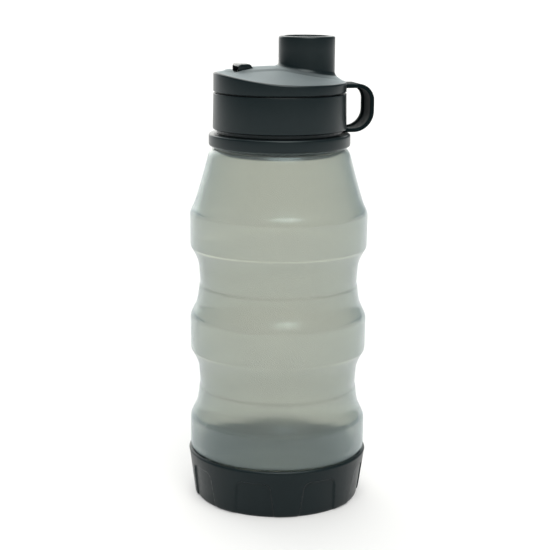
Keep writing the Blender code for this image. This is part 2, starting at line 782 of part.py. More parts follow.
def spout_bore_cutter():
    high, low = SPOUT_TOP + OVERSHOOT, ROOF_TOP - OVERSHOOT
    corners = [
        (0, high),
        (SPOUT_BORE, high),
        (SPOUT_BORE, LEDGE_Z),
        (VALVE_SEAT_RADIUS, LEDGE_Z),
        (VALVE_SEAT_RADIUS, low),
        (0, low),
    ]
    return turned_cutter("spout_bore", corners, SPOUT_X)


def vent_boss():
    """The boss under the cover that the vent plug's stem slides in."""
    top = VENT_SEAT_Z - GAP
    corners = [
        (0, top),
        (VENT_BOSS_RADIUS, top),
        (VENT_BOSS_RADIUS, VENT_BOSS_Z),
        (0, VENT_BOSS_Z),
    ]
    return turned_cutter("vent_boss", corners, VENT_X, segments=SMALL_SEGMENTS)


def vent_pocket():
    """The flat-floored pocket in the keel that the vent plug's head sits in."""
    half, foot, top = PLUG_LENGTH / 2 + GAP, VENT_SEAT_Z, VENT_SEAT_Z + PLUG_HEIGHT
    outline = [(-half, foot), (half, foot), (half, top), (-half, top)]
    return add_cutter("vent_pocket", plug_wedge("vent_pocket", outline, GAP), (VENT_X, 0, 0))


def nail_scoop():
    """The pocket runs on past the plug's outer end, so that a fingernail gets under it."""
    half_width, inner = PLUG_WIDTH / 2 + GAP, VENT_X - PLUG_LENGTH / 2
    low = (inner - NAIL_SCOOP, -half_width, VENT_SEAT_Z)
    high = (inner, half_width, VENT_SEAT_Z + PLUG_HEIGHT)
    return block_cutter("nail_scoop", low, high)


def plug_wedge(name, outline, room):
    """A solid as wide as the vent plug, and some room, which narrows towards the spout."""
    mesh = drawn_across(name, rounded(outline), 2)
    for vertex in mesh.vertices:
        share = 0.5 - vertex.co.x / PLUG_LENGTH
        width = PLUG_INNER_WIDTH + share * (PLUG_WIDTH - PLUG_INNER_WIDTH)
        vertex.co.y *= width / 2 + room
    return mesh


def vent_bore_cutter():
    high, low = VENT_SEAT_Z + OVERSHOOT, VENT_BOSS_Z - OVERSHOOT
    corners = [(0, high), (VENT_BORE, high), (VENT_BORE, low), (0, low)]
    return turned_cutter("vent_bore", corners, VENT_X, segments=SMALL_SEGMENTS)


def make_valve(parent):
    flange_top = LEDGE_Z - GAP
    flange_foot = flange_top - VALVE_FLANGE
    dome_top = flange_top + VALVE_DOME_HEIGHT
    flange_radius = VALVE_SEAT_RADIUS - GAP
    corners = [
        (0, dome_top),
        (VALVE_DOME_RADIUS, dome_top, VALVE_DOME_CORNER),
        (VALVE_DOME_RADIUS, flange_top),
        (flange_radius, flange_top),
        (flange_radius, flange_foot),
        (VALVE_DOME_RADIUS - VALVE_SKIN, flange_foot),
        (VALVE_DOME_RADIUS - VALVE_SKIN, dome_top - VALVE_SKIN, VALVE_DOME_CORNER - VALVE_SKIN),
        (0, dome_top - VALVE_SKIN),
    ]
    valve = turned("spout_valve", corners, SEAL_RUBBER, parent, SPOUT_X, closed=False)
    low, high = flange_foot, dome_top + OVERSHOOT
    half, thin = SLIT_LENGTH / 2, SLIT_WIDTH / 2
    cut(
        valve,
        block_cutter("slit_along", (SPOUT_X - half, -thin, low), (SPOUT_X + half, thin, high)),
        block_cutter("slit_across", (SPOUT_X - thin, -half, low), (SPOUT_X + thin, half, high)),
    )


def make_retainer(parent):
    outer = VALVE_SEAT_RADIUS - GAP
    top, foot = LEDGE_Z - VALVE_FLANGE - 2 * GAP, ROOF_TOP + GAP
    corners = [(outer, top), (outer, foot), (RETAINER_BORE, foot), (RETAINER_BORE, top)]
    turned("valve_retainer", corners, DARK_PLASTIC, parent, SPOUT_X)


def make_vent_plug(parent):
    """A head with a recess to lift it by, and a stem whose barb stops it when it is pulled up."""
    seat, half_length = VENT_SEAT_Z + GAP, PLUG_LENGTH / 2
    outline = [
        (half_length, seat),
        (half_length, seat + PLUG_HEIGHT, PLUG_CORNER),
        (-half_length, seat + PLUG_HEIGHT, PLUG_END_CORNER),
        (-half_length, seat),
    ]
    plug = add_piece("vent_plug", plug_wedge("vent_plug", outline, 0), DARK_PLASTIC, parent, (VENT_X, 0, 0))
    ease_edges(plug, PLUG_EDGE)
    cut(plug, nail_recess(seat))
    barb_top = VENT_BOSS_Z - PLUG_TRAVEL - GAP
    groove = VENT_SEAT_Z - O_RING_DEPTH
    groove_radius = VENT_BORE - 2 * GAP - O_RING_SECTION
    stem = [
        (0, seat + PLUG_STEM_SINK),
        (PLUG_STEM_RADIUS, seat + PLUG_STEM_SINK),
        (PLUG_STEM_RADIUS, groove),
        (groove_radius, groove),
        (groove_radius, groove - O_RING_SECTION - 2 * GAP),
        (PLUG_STEM_RADIUS, groove - O_RING_SECTION - 2 * GAP),
        (PLUG_STEM_RADIUS, barb_top),
        (PLUG_BARB_RADIUS, barb_top),
        (PLUG_TIP_RADIUS, barb_top - PLUG_BARB_LENGTH),
        (0, barb_top - PLUG_BARB_LENGTH),
    ]
    join(plug, turned_cutter("vent_stem", stem, VENT_X, segments=SMALL_SEGMENTS))


def nail_recess(seat):
    """The hollow under the head's outer end, where a fingernail lifts it."""
    end = -PLUG_LENGTH / 2
    mouth, back = end - OVERSHOOT, end + PLUG_RECESS_DEPTH
    foot, top = seat - OVERSHOOT, seat + PLUG_HEIGHT - PLUG_LIP
    outline = [(mouth, foot), (back, foot), (back, top), (mouth, top)]
    mesh = plug_wedge("nail_recess", outline, -PLUG_RECESS_WALL)
    return add_cutter("nail_recess", mesh, (VENT_X, 0, 0))


def make_vent_seal(parent):
    outer, inner = VENT_BORE - GAP, VENT_BORE - GAP - O_RING_SECTION
    top = VENT_SEAT_Z - O_RING_DEPTH - GAP
    foot, ease = top - O_RING_SECTION, O_RING_EDGE
    corners = [
        (outer - ease, top),
        (outer, top - ease),
        (outer, foot + ease),
        (outer - ease, foot),
        (inner + ease, foot),
        (inner, foot + ease),
        (inner, top - ease),
        (inner + ease, top),
    ]
    turned("vent_o_ring", corners, SEAL_RUBBER, parent, VENT_X, segments=SMALL_SEGMENTS)


def loop_top_z():
    return CROWN_DATUM + RIM_LOOP_HEIGHT - LOOP_TOP_DROP


def loop_foot_z():
    return SKIRT_Z + LOOP_FOOT_RISE


def loop_root_x():
    return LOOP_END_RADIUS - LOOP_ROOT


def tab_round(name, radius):
    """The rod that rounds the strap's ends, or their slots, to the lid's own curve."""
    low, high = SKIRT_Z - 2 * LOOP_THICKNESS, SPOUT_TOP
    return turned_cutter(name, [(0, high), (radius, high), (radius, low), (0, low)])


def loop_slot(name, low_z, high_z):
    """The slot that one end of the strap plugs into."""
    half_width = LOOP_WIDTH / 2 + GAP
    slot = block_cutter(name, (loop_root_x(), -half_width, low_z), (LOOP_REACH, half_width, high_z))
    cut(slot, tab_round(name + "_end", LOOP_END_RADIUS - GAP))
    return slot


def loop_path():
    """The middle of the strap's thickness, from its upper end round to its lower one."""
    x, top_z, foot_z = LOOP_REACH - LOOP_THICKNESS / 2, loop_top_z(), loop_foot_z()
    top, foot, side = LOOP_TOP_CORNER, LOOP_FOOT_CORNER, math.pi / 2
    path = [Vector((loop_root_x(), top_z))]
    path += arc(x - top, top_z - top, top, side, 0, LOOP_ARC_STEPS)
    path += arc(x - foot, foot_z + foot, foot, 0, -side, LOOP_ARC_STEPS)
    return path + [Vector((loop_root_x(), foot_z))]


def strap_mesh(name, outer, inner, width):
    """A band along the strap's path, between two distances from its middle."""
    path = loop_path()
    outside = [offset_point(path, i, outer) for i in range(len(path))]
    inside = [offset_point(path, i, inner) for i in range(len(path))]
    return drawn_across(name, outside + inside[::-1], width)


def make_carry_loop(parent):
    """A flat strap on a D-shaped path, with a bead left along each edge of its inner face."""
    half = LOOP_THICKNESS / 2
    loop = add_piece("carry_loop", strap_mesh("carry_loop", half, -half, LOOP_WIDTH), DARK_STRAP, parent)
    ease_edges(loop, LOOP_EDGE)
    width = LOOP_WIDTH - 2 * LOOP_BEAD
    channel = strap_mesh("loop_channel", LOOP_CHANNEL - half, -half - OVERSHOOT, width)
    cut(loop, add_cutter("loop_channel", channel), tab_round("loop_tab_round", LOOP_END_RADIUS))


def ease_edges(thing, width):
    bevel = thing.modifiers.new("eased_edges", "BEVEL")
    bevel.width = width
    bevel.segments = 1
    bevel.angle_limit = BEVEL_ANGLE


def offset_point(path, index, distance):
    """The path's point moved square to the path."""
    before, after = path[max(index - 1, 0)], path[min(index + 1, len(path) - 1)]
    along = (after - before).normalized()
    return path[index] + Vector((-along.y, along.x)) * distance


clear_scene()
BOTTLE = new_collection("collapsible_water_bottle")
CUTTERS = new_collection("cutters")
DARK_PLASTIC = finish("dark_plastic", (0.030, 0.036, 0.038), 0.36)
DARK_STRAP = finish("dark_strap", (0.034, 0.040, 0.041), 0.45)
SEAL_RUBBER = finish("seal_rubber", (0.45, 0.47, 0.46), 0.55)
SILICONE = finish("silicone", (0.62, 0.68, 0.64), 0.42, 0.5)

middle_frame = add_frame("middle_frame", place=(0, 0, 0))
top_frame = add_frame("top_frame", middle_frame)
neck_frame = add_frame("neck_frame", top_frame)
lid_frame = add_frame("lid_frame", neck_frame)

make_boot()
make_base_cup()
make_fold("silicone_fold_lower", LOWER_FOLD_Z, None)
make_band("silicone_band_middle", MIDDLE_BAND_Z, middle_frame)
make_fold("silicone_fold_upper", UPPER_FOLD_Z, middle_frame)
make_band("silicone_band_top", TOP_BAND_Z, top_frame)
make_shoulder(top_frame)
make_silicone_neck(neck_frame)
make_collar(neck_frame)
make_neck_insert(neck_frame)
make_gasket(lid_frame)
make_skirt(lid_frame)
make_cover_seal(lid_frame)
make_cover(lid_frame)
make_valve(lid_frame)
make_retainer(lid_frame)
make_vent_plug(lid_frame)
make_vent_seal(lid_frame)
make_carry_loop(lid_frame)
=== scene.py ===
# %% [markdown]
# # A collapsible water bottle
#
# A squeezy silicone body stands in a dark boot and carries a dark screw lid with a wide spout, a small vent plug
# and a carry loop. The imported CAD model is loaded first, because every piece below is placed by it: the same
# metres, the same axes, +X towards the carry loop. Pieces that show are remade here with finer curves, and the
# ones inside the lid are kept as they are and given a finish.

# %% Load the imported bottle
import math

import bmesh
import bpy
from mathutils import Matrix, Vector


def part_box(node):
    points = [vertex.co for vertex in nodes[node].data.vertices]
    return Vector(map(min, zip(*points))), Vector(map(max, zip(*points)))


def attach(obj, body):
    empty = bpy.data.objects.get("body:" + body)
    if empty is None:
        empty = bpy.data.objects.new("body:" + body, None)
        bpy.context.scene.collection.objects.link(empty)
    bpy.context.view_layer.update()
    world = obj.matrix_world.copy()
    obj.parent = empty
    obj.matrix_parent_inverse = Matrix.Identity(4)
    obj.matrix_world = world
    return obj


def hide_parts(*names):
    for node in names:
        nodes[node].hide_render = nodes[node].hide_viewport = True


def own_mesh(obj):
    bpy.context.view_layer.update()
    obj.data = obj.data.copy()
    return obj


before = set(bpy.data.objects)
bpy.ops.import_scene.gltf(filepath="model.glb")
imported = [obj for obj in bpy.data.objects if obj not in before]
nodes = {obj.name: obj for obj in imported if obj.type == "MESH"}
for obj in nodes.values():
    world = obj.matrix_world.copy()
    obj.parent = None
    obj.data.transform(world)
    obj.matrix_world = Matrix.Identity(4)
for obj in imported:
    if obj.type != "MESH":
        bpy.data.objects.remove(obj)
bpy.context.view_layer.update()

# %% [markdown]
# ## Heights taken from the bottle itself
#
# A visible piece has to meet its neighbours exactly, and it has to move with the same joint as the CAD solid it
# stands for. So the heights where one piece hands over to the next are read from the CAD boxes and not typed in.

# %% Read the joining heights
cup_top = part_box("silicone_base_cup")[1].z
middle_foot, middle_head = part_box("silicone_band_middle")[0].z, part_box("silicone_band_middle")[1].z
top_foot, top_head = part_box("silicone_band_top")[0].z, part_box("silicone_band_top")[1].z
shoulder_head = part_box("silicone_shoulder")[1].z
band_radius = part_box("silicone_band_top")[1].x
fold_height = middle_foot - cup_top
collar_foot, collar_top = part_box("collar_ring")[0].z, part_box("collar_ring")[1].z
skirt_foot, skirt_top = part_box("lid_skirt")[0].z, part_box("lid_skirt")[1].z
spout_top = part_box("lid_cover")[1].z
lid_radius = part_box("lid_cover")[1].x
print("fold", round(1000 * fold_height, 2), "mm high, band radius", round(1000 * band_radius, 2), "mm")

# %% [markdown]
# ## The camera
#
# The viewpoint was worked out from the way the rings of the bottle turn into ellipses: a long lens, a little above
# the lid, looking down about twelve degrees, and fourteen degrees round from the lid's own middle plane. The camera
# is turned by a matrix for each of those angles, so each angle can be read on its own line.

# %% Place the camera
PHOTO_PIXELS = 550
FOCAL_PIXELS = 1435.2
SENSOR_WIDTH = 36.0
VIEW_TURN = math.radians(14)
LOOK_DOWN = math.radians(11.94)
LEAN = math.radians(0.47)
AIM_LEFT = math.radians(0.136)
CAMERA_AWAY = 0.6813
CAMERA_HEIGHT = 0.25335
CLIP_NEAR, CLIP_FAR = 0.01, 100

camera = bpy.data.objects.new("camera", bpy.data.cameras.new("camera"))
bpy.context.scene.collection.objects.link(camera)
camera.data.sensor_width = SENSOR_WIDTH
camera.data.lens = SENSOR_WIDTH * FOCAL_PIXELS / PHOTO_PIXELS
camera.data.clip_start, camera.data.clip_end = CLIP_NEAR, CLIP_FAR
stand = Vector((-CAMERA_AWAY * math.sin(VIEW_TURN), -CAMERA_AWAY * math.cos(VIEW_TURN), CAMERA_HEIGHT))
turn = Matrix.Rotation(AIM_LEFT - VIEW_TURN, 4, "Z")
tip = Matrix.Rotation(math.pi / 2 - LOOK_DOWN, 4, "X")
camera.matrix_world = Matrix.Translation(stand) @ turn @ tip @ Matrix.Rotation(LEAN, 4, "Z")
bpy.context.scene.camera = camera
print("lens", round(camera.data.lens, 1), "mm")

# %% [markdown]
# ## A pale floor and soft light
#
# The bottle stands on a seamless pale sheet that glows a little, as a lit table does, so its shadow stays faint. One
# very large plane does that, since from this height its edge is far beyond the picture. The plain colour transform
# is chosen so that white stays white.

# %% Lay the floor
FLOOR_REACH = 40.0
FLOOR_WHITE = (0.45, 0.45, 0.45)
FLOOR_GLOW = 0.33
FLOOR_ROUGHNESS = 0.9

scene = bpy.context.scene
scene.view_settings.view_transform = "Standard"

sheet = bmesh.new()
bmesh.ops.create_grid(sheet, x_segments=1, y_segments=1, size=FLOOR_REACH)
floor_mesh = bpy.data.meshes.new("floor")
sheet.to_mesh(floor_mesh)
sheet.free()
floor = bpy.data.objects.new("floor", floor_mesh)
scene.collection.objects.link(floor)
paper = bpy.data.materials.new("pale_paper")
paper.use_nodes = True
paper_shader = paper.node_tree.nodes["Principled BSDF"]
paper_shader.inputs["Base Color"].default_value = (*FLOOR_WHITE, 1)
paper_shader.inputs["Roughness"].default_value = FLOOR_ROUGHNESS
paper_shader.inputs["Specular IOR Level"].default_value = 0.0
paper_shader.inputs["Emission Color"].default_value = (1, 1, 1, 1)
paper_shader.inputs["Emission Strength"].default_value = FLOOR_GLOW
floor_mesh.materials.append(paper)
print("stage:", floor.name)

# %% [markdown]
# ### A studio all round
#
# Soft light here comes from a painted sky and not from lamps, because a sky reaches the far floor as evenly as the
# near floor. Three bright patches stand for soft boxes. A wide one hangs behind the bottle, where a low view over the
# lid sees it mirrored in the crown. One is overhead, and one above the front draws light lines along the rounded
# edges. The sides are cooler and dimmer.

# %% Paint the sky
SKY_LEVEL = 0.34
SKY_MIDDLE, SKY_SIDES = (1.0, 0.975, 0.93), (0.31, 0.41, 0.46)
BEHIND, OVERHEAD, FRONT = Vector((0.0, 0.87, 0.50)), Vector((0.0, 0.10, 0.995)), Vector((0.0, -0.54, 0.84))
# A soft box has a direction, the cosines of the angles where it ends and where it is full, and a power.
SOFT_BOXES = (
    (BEHIND, 0.70, 0.94, 2.6),
    (OVERHEAD, 0.86, 0.95, 4.0),
    (FRONT, 0.90, 0.955, 5.5),
)

world = bpy.data.worlds.new("soft_studio")
world.use_nodes = True
scene.world = world
sky = world.node_tree
direction = sky.nodes.new("ShaderNodeTexCoord").outputs["Generated"]


def add_soft_box(level, towards, edge, core, power):
    """Brightens the sky about a direction, fading out from the core to the edge."""
    nearness = sky.nodes.new("ShaderNodeVectorMath")
    nearness.operation = "DOT_PRODUCT"
    nearness.inputs[1].default_value = towards
    patch = sky.nodes.new("ShaderNodeMapRange")
    patch.interpolation_type = "SMOOTHSTEP"
    patch.inputs["From Min"].default_value = edge
    patch.inputs["From Max"].default_value = core
    patch.inputs["To Max"].default_value = power
    total = sky.nodes.new("ShaderNodeMath")
    sky.links.new(direction, nearness.inputs[0])
    sky.links.new(nearness.outputs["Value"], patch.inputs["Value"])
    sky.links.new(patch.outputs["Result"], total.inputs[0])
    if level is None:
        total.inputs[1].default_value = SKY_LEVEL
    else:
        sky.links.new(level, total.inputs[1])
    return total.outputs["Value"]


level = None
for towards, edge, core, power in SOFT_BOXES:
    level = add_soft_box(level, towards, edge, core, power)

sideways = sky.nodes.new("ShaderNodeSeparateXYZ")
distance = sky.nodes.new("ShaderNodeMath")
distance.operation = "ABSOLUTE"
tint = sky.nodes.new("ShaderNodeMix")
tint.data_type = "RGBA"
tint.inputs["A"].default_value = (*SKY_MIDDLE, 1)
tint.inputs["B"].default_value = (*SKY_SIDES, 1)
sky.links.new(direction, sideways.inputs["Vector"])
sky.links.new(sideways.outputs["X"], distance.inputs[0])
sky.links.new(distance.outputs["Value"], tint.inputs["Factor"])
sky.links.new(tint.outputs["Result"], sky.nodes["Background"].inputs["Color"])
sky.links.new(level, sky.nodes["Background"].inputs["Strength"])
print("sky level", SKY_LEVEL, "with", len(SOFT_BOXES), "soft boxes")

# %% [markdown]
# ## Finishes
#
# Moulded plastic is never one flat colour: its pigment drifts a little, its gloss changes from place to place, and
# a fine spark-eroded grain breaks up the highlights. Each finish below gets those three from noise that is measured
# in the piece's own metres, so the grain keeps its size on every piece.

# %% Tools for a finish
NOISE_LOW, NOISE_HIGH = 0.3, 0.7


def start_finish(name):
    """A new material, with its node tree and its shader."""
    finish = bpy.data.materials.new(name)
    finish.use_nodes = True
    return finish, finish.node_tree, finish.node_tree.nodes["Principled BSDF"]


def grain(tree, cells_per_metre, detail=3.0):
    """Noise over the piece's own metres."""
    place = tree.nodes.new("ShaderNodeTexCoord")
    noise = tree.nodes.new("ShaderNodeTexNoise")
    noise.inputs["Scale"].default_value = cells_per_metre
    noise.inputs["Detail"].default_value = detail
    tree.links.new(place.outputs["Object"], noise.inputs["Vector"])
    return noise.outputs["Fac"]


def drift_colour(tree, shader, noise, one, other):
    """The base colour wanders between two pigments."""
    mix = tree.nodes.new("ShaderNodeMix")
    mix.data_type = "RGBA"
    mix.inputs["A"].default_value = (*one, 1)
    mix.inputs["B"].default_value = (*other, 1)
    tree.links.new(noise, mix.inputs["Factor"])
    tree.links.new(mix.outputs["Result"], shader.inputs["Base Color"])


def drift_gloss(tree, shader, noise, smooth, rough):
    """The roughness wanders between a smoother and a rougher value."""
    spread = tree.nodes.new("ShaderNodeMapRange")
    spread.inputs["From Min"].default_value = NOISE_LOW
    spread.inputs["From Max"].default_value = NOISE_HIGH
    spread.inputs["To Min"].default_value = smooth
    spread.inputs["To Max"].default_value = rough
    tree.links.new(noise, spread.inputs["Value"])
    tree.links.new(spread.outputs["Result"], shader.inputs["Roughness"])


def raise_grain(tree, shader, noise, height, strength):
    """The noise lifts the surface by a height in metres."""
    bump = tree.nodes.new("ShaderNodeBump")
    bump.inputs["Distance"].default_value = height
    bump.inputs["Strength"].default_value = strength
    tree.links.new(noise, bump.inputs["Height"])
    tree.links.new(bump.outputs["Normal"], shader.inputs["Normal"])


# %% [markdown]
# ### Slate plastic
#
# The lid, collar and boot are a dark slate polypropylene. It is nearly black, slightly blue-green, and satin: seen
# straight on it stays dark, and at a glancing angle it picks up the white room. A low specular level keeps the
# facing sides dark while the edges still turn pale. The top of the lid is rougher and has a velvety sheen, which
# spreads the light evenly over the crown. The boot is the same plastic with a coarser, duller grain. The strap is a
# dull elastomer of the same colour.

# %% Mix the slate plastics and the strap's elastomer
SLATE_DEEP, SLATE_PALE = (0.0035, 0.0078, 0.0090), (0.0055, 0.0105, 0.0118)
SLATE_TINT = (0.86, 0.97, 1.0)
SLATE_SHEEN_ROUGHNESS = 0.5
SLATE_PIGMENT_CELLS, SLATE_GLOSS_CELLS, SLATE_GRAIN_CELLS = 140, 420, 3200


def slate(name, smooth, rough, grain_height, specular, sheen):
    """A slate finish. Smooth and rough are the two ends of its roughness."""
    finish, tree, shader = start_finish(name)
    drift_colour(tree, shader, grain(tree, SLATE_PIGMENT_CELLS), SLATE_DEEP, SLATE_PALE)
    drift_gloss(tree, shader, grain(tree, SLATE_GLOSS_CELLS), smooth, rough)
    raise_grain(tree, shader, grain(tree, SLATE_GRAIN_CELLS, detail=2.0), grain_height, strength=0.25)
    shader.inputs["Specular IOR Level"].default_value = specular
    shader.inputs["Specular Tint"].default_value = (*SLATE_TINT, 1)
    shader.inputs["Sheen Weight"].default_value = sheen
    shader.inputs["Sheen Roughness"].default_value = SLATE_SHEEN_ROUGHNESS
    shader.inputs["Sheen Tint"].default_value = (*SLATE_TINT, 1)
    return finish


slate_satin = slate("slate_satin_plastic", smooth=0.28, rough=0.33, grain_height=0.00002, specular=0.30, sheen=0.02)
slate_crown = slate("slate_crown_plastic", smooth=0.56, rough=0.62, grain_height=0.00002, specular=0.36, sheen=1.0)
slate_matt = slate("slate_matt_plastic", smooth=0.32, rough=0.40, grain_height=0.00004, specular=0.24, sheen=0.0)
strap_rubber = slate("slate_strap_elastomer", smooth=0.56, rough=0.62, grain_height=0.00003, specular=0.03, sheen=0.0)
print("slate finishes:", slate_satin.name, slate_crown.name, slate_matt.name, strap_rubber.name)

# %% [markdown]
# ### Clouded silicone
#
# The body is silicone about two millimetres thick, tinted smoky grey-green. Light goes through both walls, so the
# far side and the dark boot show as soft shapes. That is rough transmission with silicone's own refraction, and the
# tint is counted at every surface the light crosses. The powdery outside adds a thin bluish veil, which a little
# sheen stands for: it shows over the dark boot and towards the sides. The seals are the same rubber, opaque and pale.

# %% Mix the silicones
SILICONE_REFRACTION = 1.41
SILICONE_THROUGH = 0.90
SILICONE_DEEP, SILICONE_PALE = (0.630, 0.640, 0.578), (0.660, 0.665, 0.598)
SHINE_TINT = (0.75, 0.95, 1.0)
VEIL_WEIGHT, VEIL_ROUGHNESS, VEIL_TINT = 0.15, 0.8, (0.50, 0.82, 1.0)
SEAL_DEEP, SEAL_PALE = (0.42, 0.44, 0.43), (0.48, 0.50, 0.49)

clouded_silicone, tree, shader = start_finish("clouded_silicone")
drift_colour(tree, shader, grain(tree, 22, detail=2.0), SILICONE_DEEP, SILICONE_PALE)
drift_gloss(tree, shader, grain(tree, 300), smooth=0.188, rough=0.196)
raise_grain(tree, shader, grain(tree, 60, detail=1.0), height=0.00010, strength=0.1)
shader.inputs["Transmission Weight"].default_value = SILICONE_THROUGH
shader.inputs["Sheen Weight"].default_value = VEIL_WEIGHT
shader.inputs["Sheen Roughness"].default_value = VEIL_ROUGHNESS
shader.inputs["Sheen Tint"].default_value = (*VEIL_TINT, 1)
shader.inputs["IOR"].default_value = SILICONE_REFRACTION
shader.inputs["Specular Tint"].default_value = (*SHINE_TINT, 1)

seal_silicone, tree, shader = start_finish("seal_silicone")
drift_colour(tree, shader, grain(tree, 200), SEAL_DEEP, SEAL_PALE)
drift_gloss(tree, shader, grain(tree, 500), smooth=0.45, rough=0.60)
raise_grain(tree, shader, grain(tree, 1500, detail=2.0), height=0.00004, strength=0.2)
print("silicone finishes:", clouded_silicone.name, seal_silicone.name)

# %% [markdown]
# ## Turning, smoothing and cutting
#
# Nearly everything on a bottle is turned: an outline of radius and height, swept round the axis. Blender has a Screw
# modifier for that, but building the rings by hand says exactly which way each face looks, and clear silicone needs
# that to bend light properly. Outlines run down the outer side, and on round to come up the inner side.

# %% Tools for shapes
AROUND = 120
SMOOTH_BELOW = math.radians(32)


def skin(bm, upper, lower):
    """Faces between two rings. A ring of one point is the tip of a cone."""
    count = max(len(upper), len(lower))
    if count == 1:
        return
    for i in range(count):
        j = (i + 1) % count
        corners = [upper[i % len(upper)], lower[i % len(lower)], lower[j % len(lower)], upper[j % len(upper)]]
        kept = [corner for k, corner in enumerate(corners) if corner is not corners[k - 1]]
        bm.faces.new(kept)


def turned_ring(bm, radius, height, x=0.0, around=AROUND):
    """A level ring about an upright axis at x, or one point where the radius is nought."""
    if radius == 0:
        return [bm.verts.new((x, 0, height))]
    angles = [math.tau * i / around for i in range(around)]
    return [bm.verts.new((x + radius * math.cos(a), radius * math.sin(a), height)) for a in angles]


def turn_outline(outline, x=0.0, closed=False, around=AROUND, bm=None):
    """A surface turned about an upright axis at x."""
    bm = bm or bmesh.new()
    rings = [turned_ring(bm, radius, height, x, around) for radius, height in outline]
    pairs = zip(rings, rings[1:] + rings[:1]) if closed else zip(rings, rings[1:])
    for upper, lower in pairs:
        skin(bm, upper, lower)
    return bm


def make_piece(name, bm, finish, body, slot, *stands_for):
    """A finished piece that rides on a body and takes the place of CAD nodes."""
    mesh = bpy.data.meshes.new(name)
    bm.to_mesh(mesh)
    bm.free()
    mesh.shade_smooth()
    mesh.set_sharp_from_angle(angle=SMOOTH_BELOW)
    mesh.materials.append(finish)
    piece = bpy.data.objects.new(name, mesh)
    scene.collection.objects.link(piece)
    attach(piece, body)
    if stands_for:
        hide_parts(*stands_for)
    print(name, "rides on", body, "with", len(mesh.polygons), "faces")
    return piece


def through(points, steps=4):
    """A smooth line through all the points."""
    line = []
    ends = [points[0], *points, points[-1]]
    for before, here, there, after in zip(ends, ends[1:], ends[2:], ends[3:]):
        before, here, there, after = map(Vector, (before, here, there, after))
        for step in range(steps):
            t = step / steps
            bend = (there - before) * t + (2 * before - 5 * here + 4 * there - after) * t**2
            bend += (3 * here - 3 * there + after - before) * t**3
            line.append(tuple(here + bend / 2))
    return line + [tuple(points[-1])]


def eased(corners, steps=4):
    """An outline whose corners are rounded where they give a radius as a third number."""
    line = []
    for k, corner in enumerate(corners):
        here = Vector(corner[:2])
        if len(corner) < 3:
            line.append(tuple(here))
            continue
        before = Vector(corners[k - 1][:2]) - here
        after = Vector(corners[(k + 1) % len(corners)][:2]) - here
        reach = corner[2] / math.tan(before.angle(after) / 2)
        start, end = here + before.normalized() * reach, here + after.normalized() * reach
        for step in range(steps + 1):
            t = step / steps
            line.append(tuple(start * (1 - t) ** 2 + here * 2 * t * (1 - t) + end * t**2))
    return line


def quarter_turn(steps):
    """Angles from nought to a right angle."""
    return [math.pi / 2 * k / steps for k in range(steps + 1)]


def bake_modifiers(piece):
    """The piece keeps the shape its modifiers give it, and loses them."""
    bpy.context.view_layer.update()
    graph = bpy.context.evaluated_depsgraph_get()
    shaped = bpy.data.meshes.new_from_object(piece.evaluated_get(graph))
    piece.modifiers.clear()
    piece.data = shaped
    shaped.set_sharp_from_angle(angle=SMOOTH_BELOW)


def carve(piece, bm, operation="DIFFERENCE"):
    """Cuts a shape from a piece, or joins it on, and throws the shape away."""
    mesh = bpy.data.meshes.new("carver")
    bmesh.ops.recalc_face_normals(bm, faces=bm.faces)
    bm.to_mesh(mesh)
    bm.free()
    carver = bpy.data.objects.new("carver", mesh)
    scene.collection.objects.link(carver)
    cut = piece.modifiers.new("carve", "BOOLEAN")
    cut.operation, cut.solver, cut.object = operation, "EXACT", carver
    bake_modifiers(piece)
    bpy.data.objects.remove(carver)
    bpy.data.meshes.remove(mesh)


# %% [markdown]
# ## The silicone body
#
# On the real bottle this is one moulding. Here it is cut at the creases, because each waist shortens when the bottle
# is folded down. The cut edges are left open: neighbours share the same circle, so light passes from one to the next
# as if the wall were whole. A cap between them would show as a grey ring. Only the shoulder's head is closed, out of
# sight under the collar, because light that enters the open wall there would glint below the collar's foot.
#
# The outline comes from the silhouette: a cone-shaped shoulder, wide bands with a slightly eased edge, and waists
# whose upper half tucks just inside the lower half at a fine step.

# %% Outlines of the silicone
BAND_WALL = 0.0020
WAIST_WALL = 0.0016
WALL_FADE = 0.0009
CREASE_DEPTH = 0.00025
JOIN_RADIUS = band_radius - CREASE_DEPTH
EDGE_INSET, EDGE_EASE = 0.00008, 0.0014


def lifted(points, foot):
    """Outline points given in millimetres above a foot, as metres."""
    return [(radius / 1000, foot + height / 1000) for radius, height in points]


def waist_outline(foot):
    """The waist's outer side, from its head down to its foot."""
    head = [(JOIN_RADIUS * 1000, fold_height * 1000), (41.15, 31.5), (40.05, 29.4), (39.2, 27.3)]
    head += [(38.55, 25.0), (38.17, 20.5), (37.90, 17.0), (37.88, 15.5)]
    low = [(38.30, 14.6), (38.62, 11.4), (39.15, 7.9), (39.80, 5.6), (40.75, 3.6), (41.65, 1.7)]
    low += [(JOIN_RADIUS * 1000, 0)]
    return lifted(through(head) + through(low), foot)


def band_outline(foot, head):
    """A band's outer side, nearly upright, with eased edges at both creases."""
    return [
        (JOIN_RADIUS, head),
        (band_radius - EDGE_INSET, head - 0.0005),
        (band_radius, head - EDGE_EASE),
        (band_radius - 0.00005, (foot + head) / 2),
        (band_radius - 0.00012, foot + EDGE_EASE),
        (JOIN_RADIUS, foot),
    ]


def shoulder_outline(foot, head):
    """The shoulder's outer side, a cone that flares out to the top band."""
    cone = [(32.2, (head - foot) * 1000), (33.35, 28.4), (34.1, 26.4), (35.1, 22.6), (37.2, 15.0)]
    cone += [(39.5, 7.3), (40.85, 3.5), (41.75, 1.6), (JOIN_RADIUS * 1000, 0)]
    return lifted(through(cone), foot)


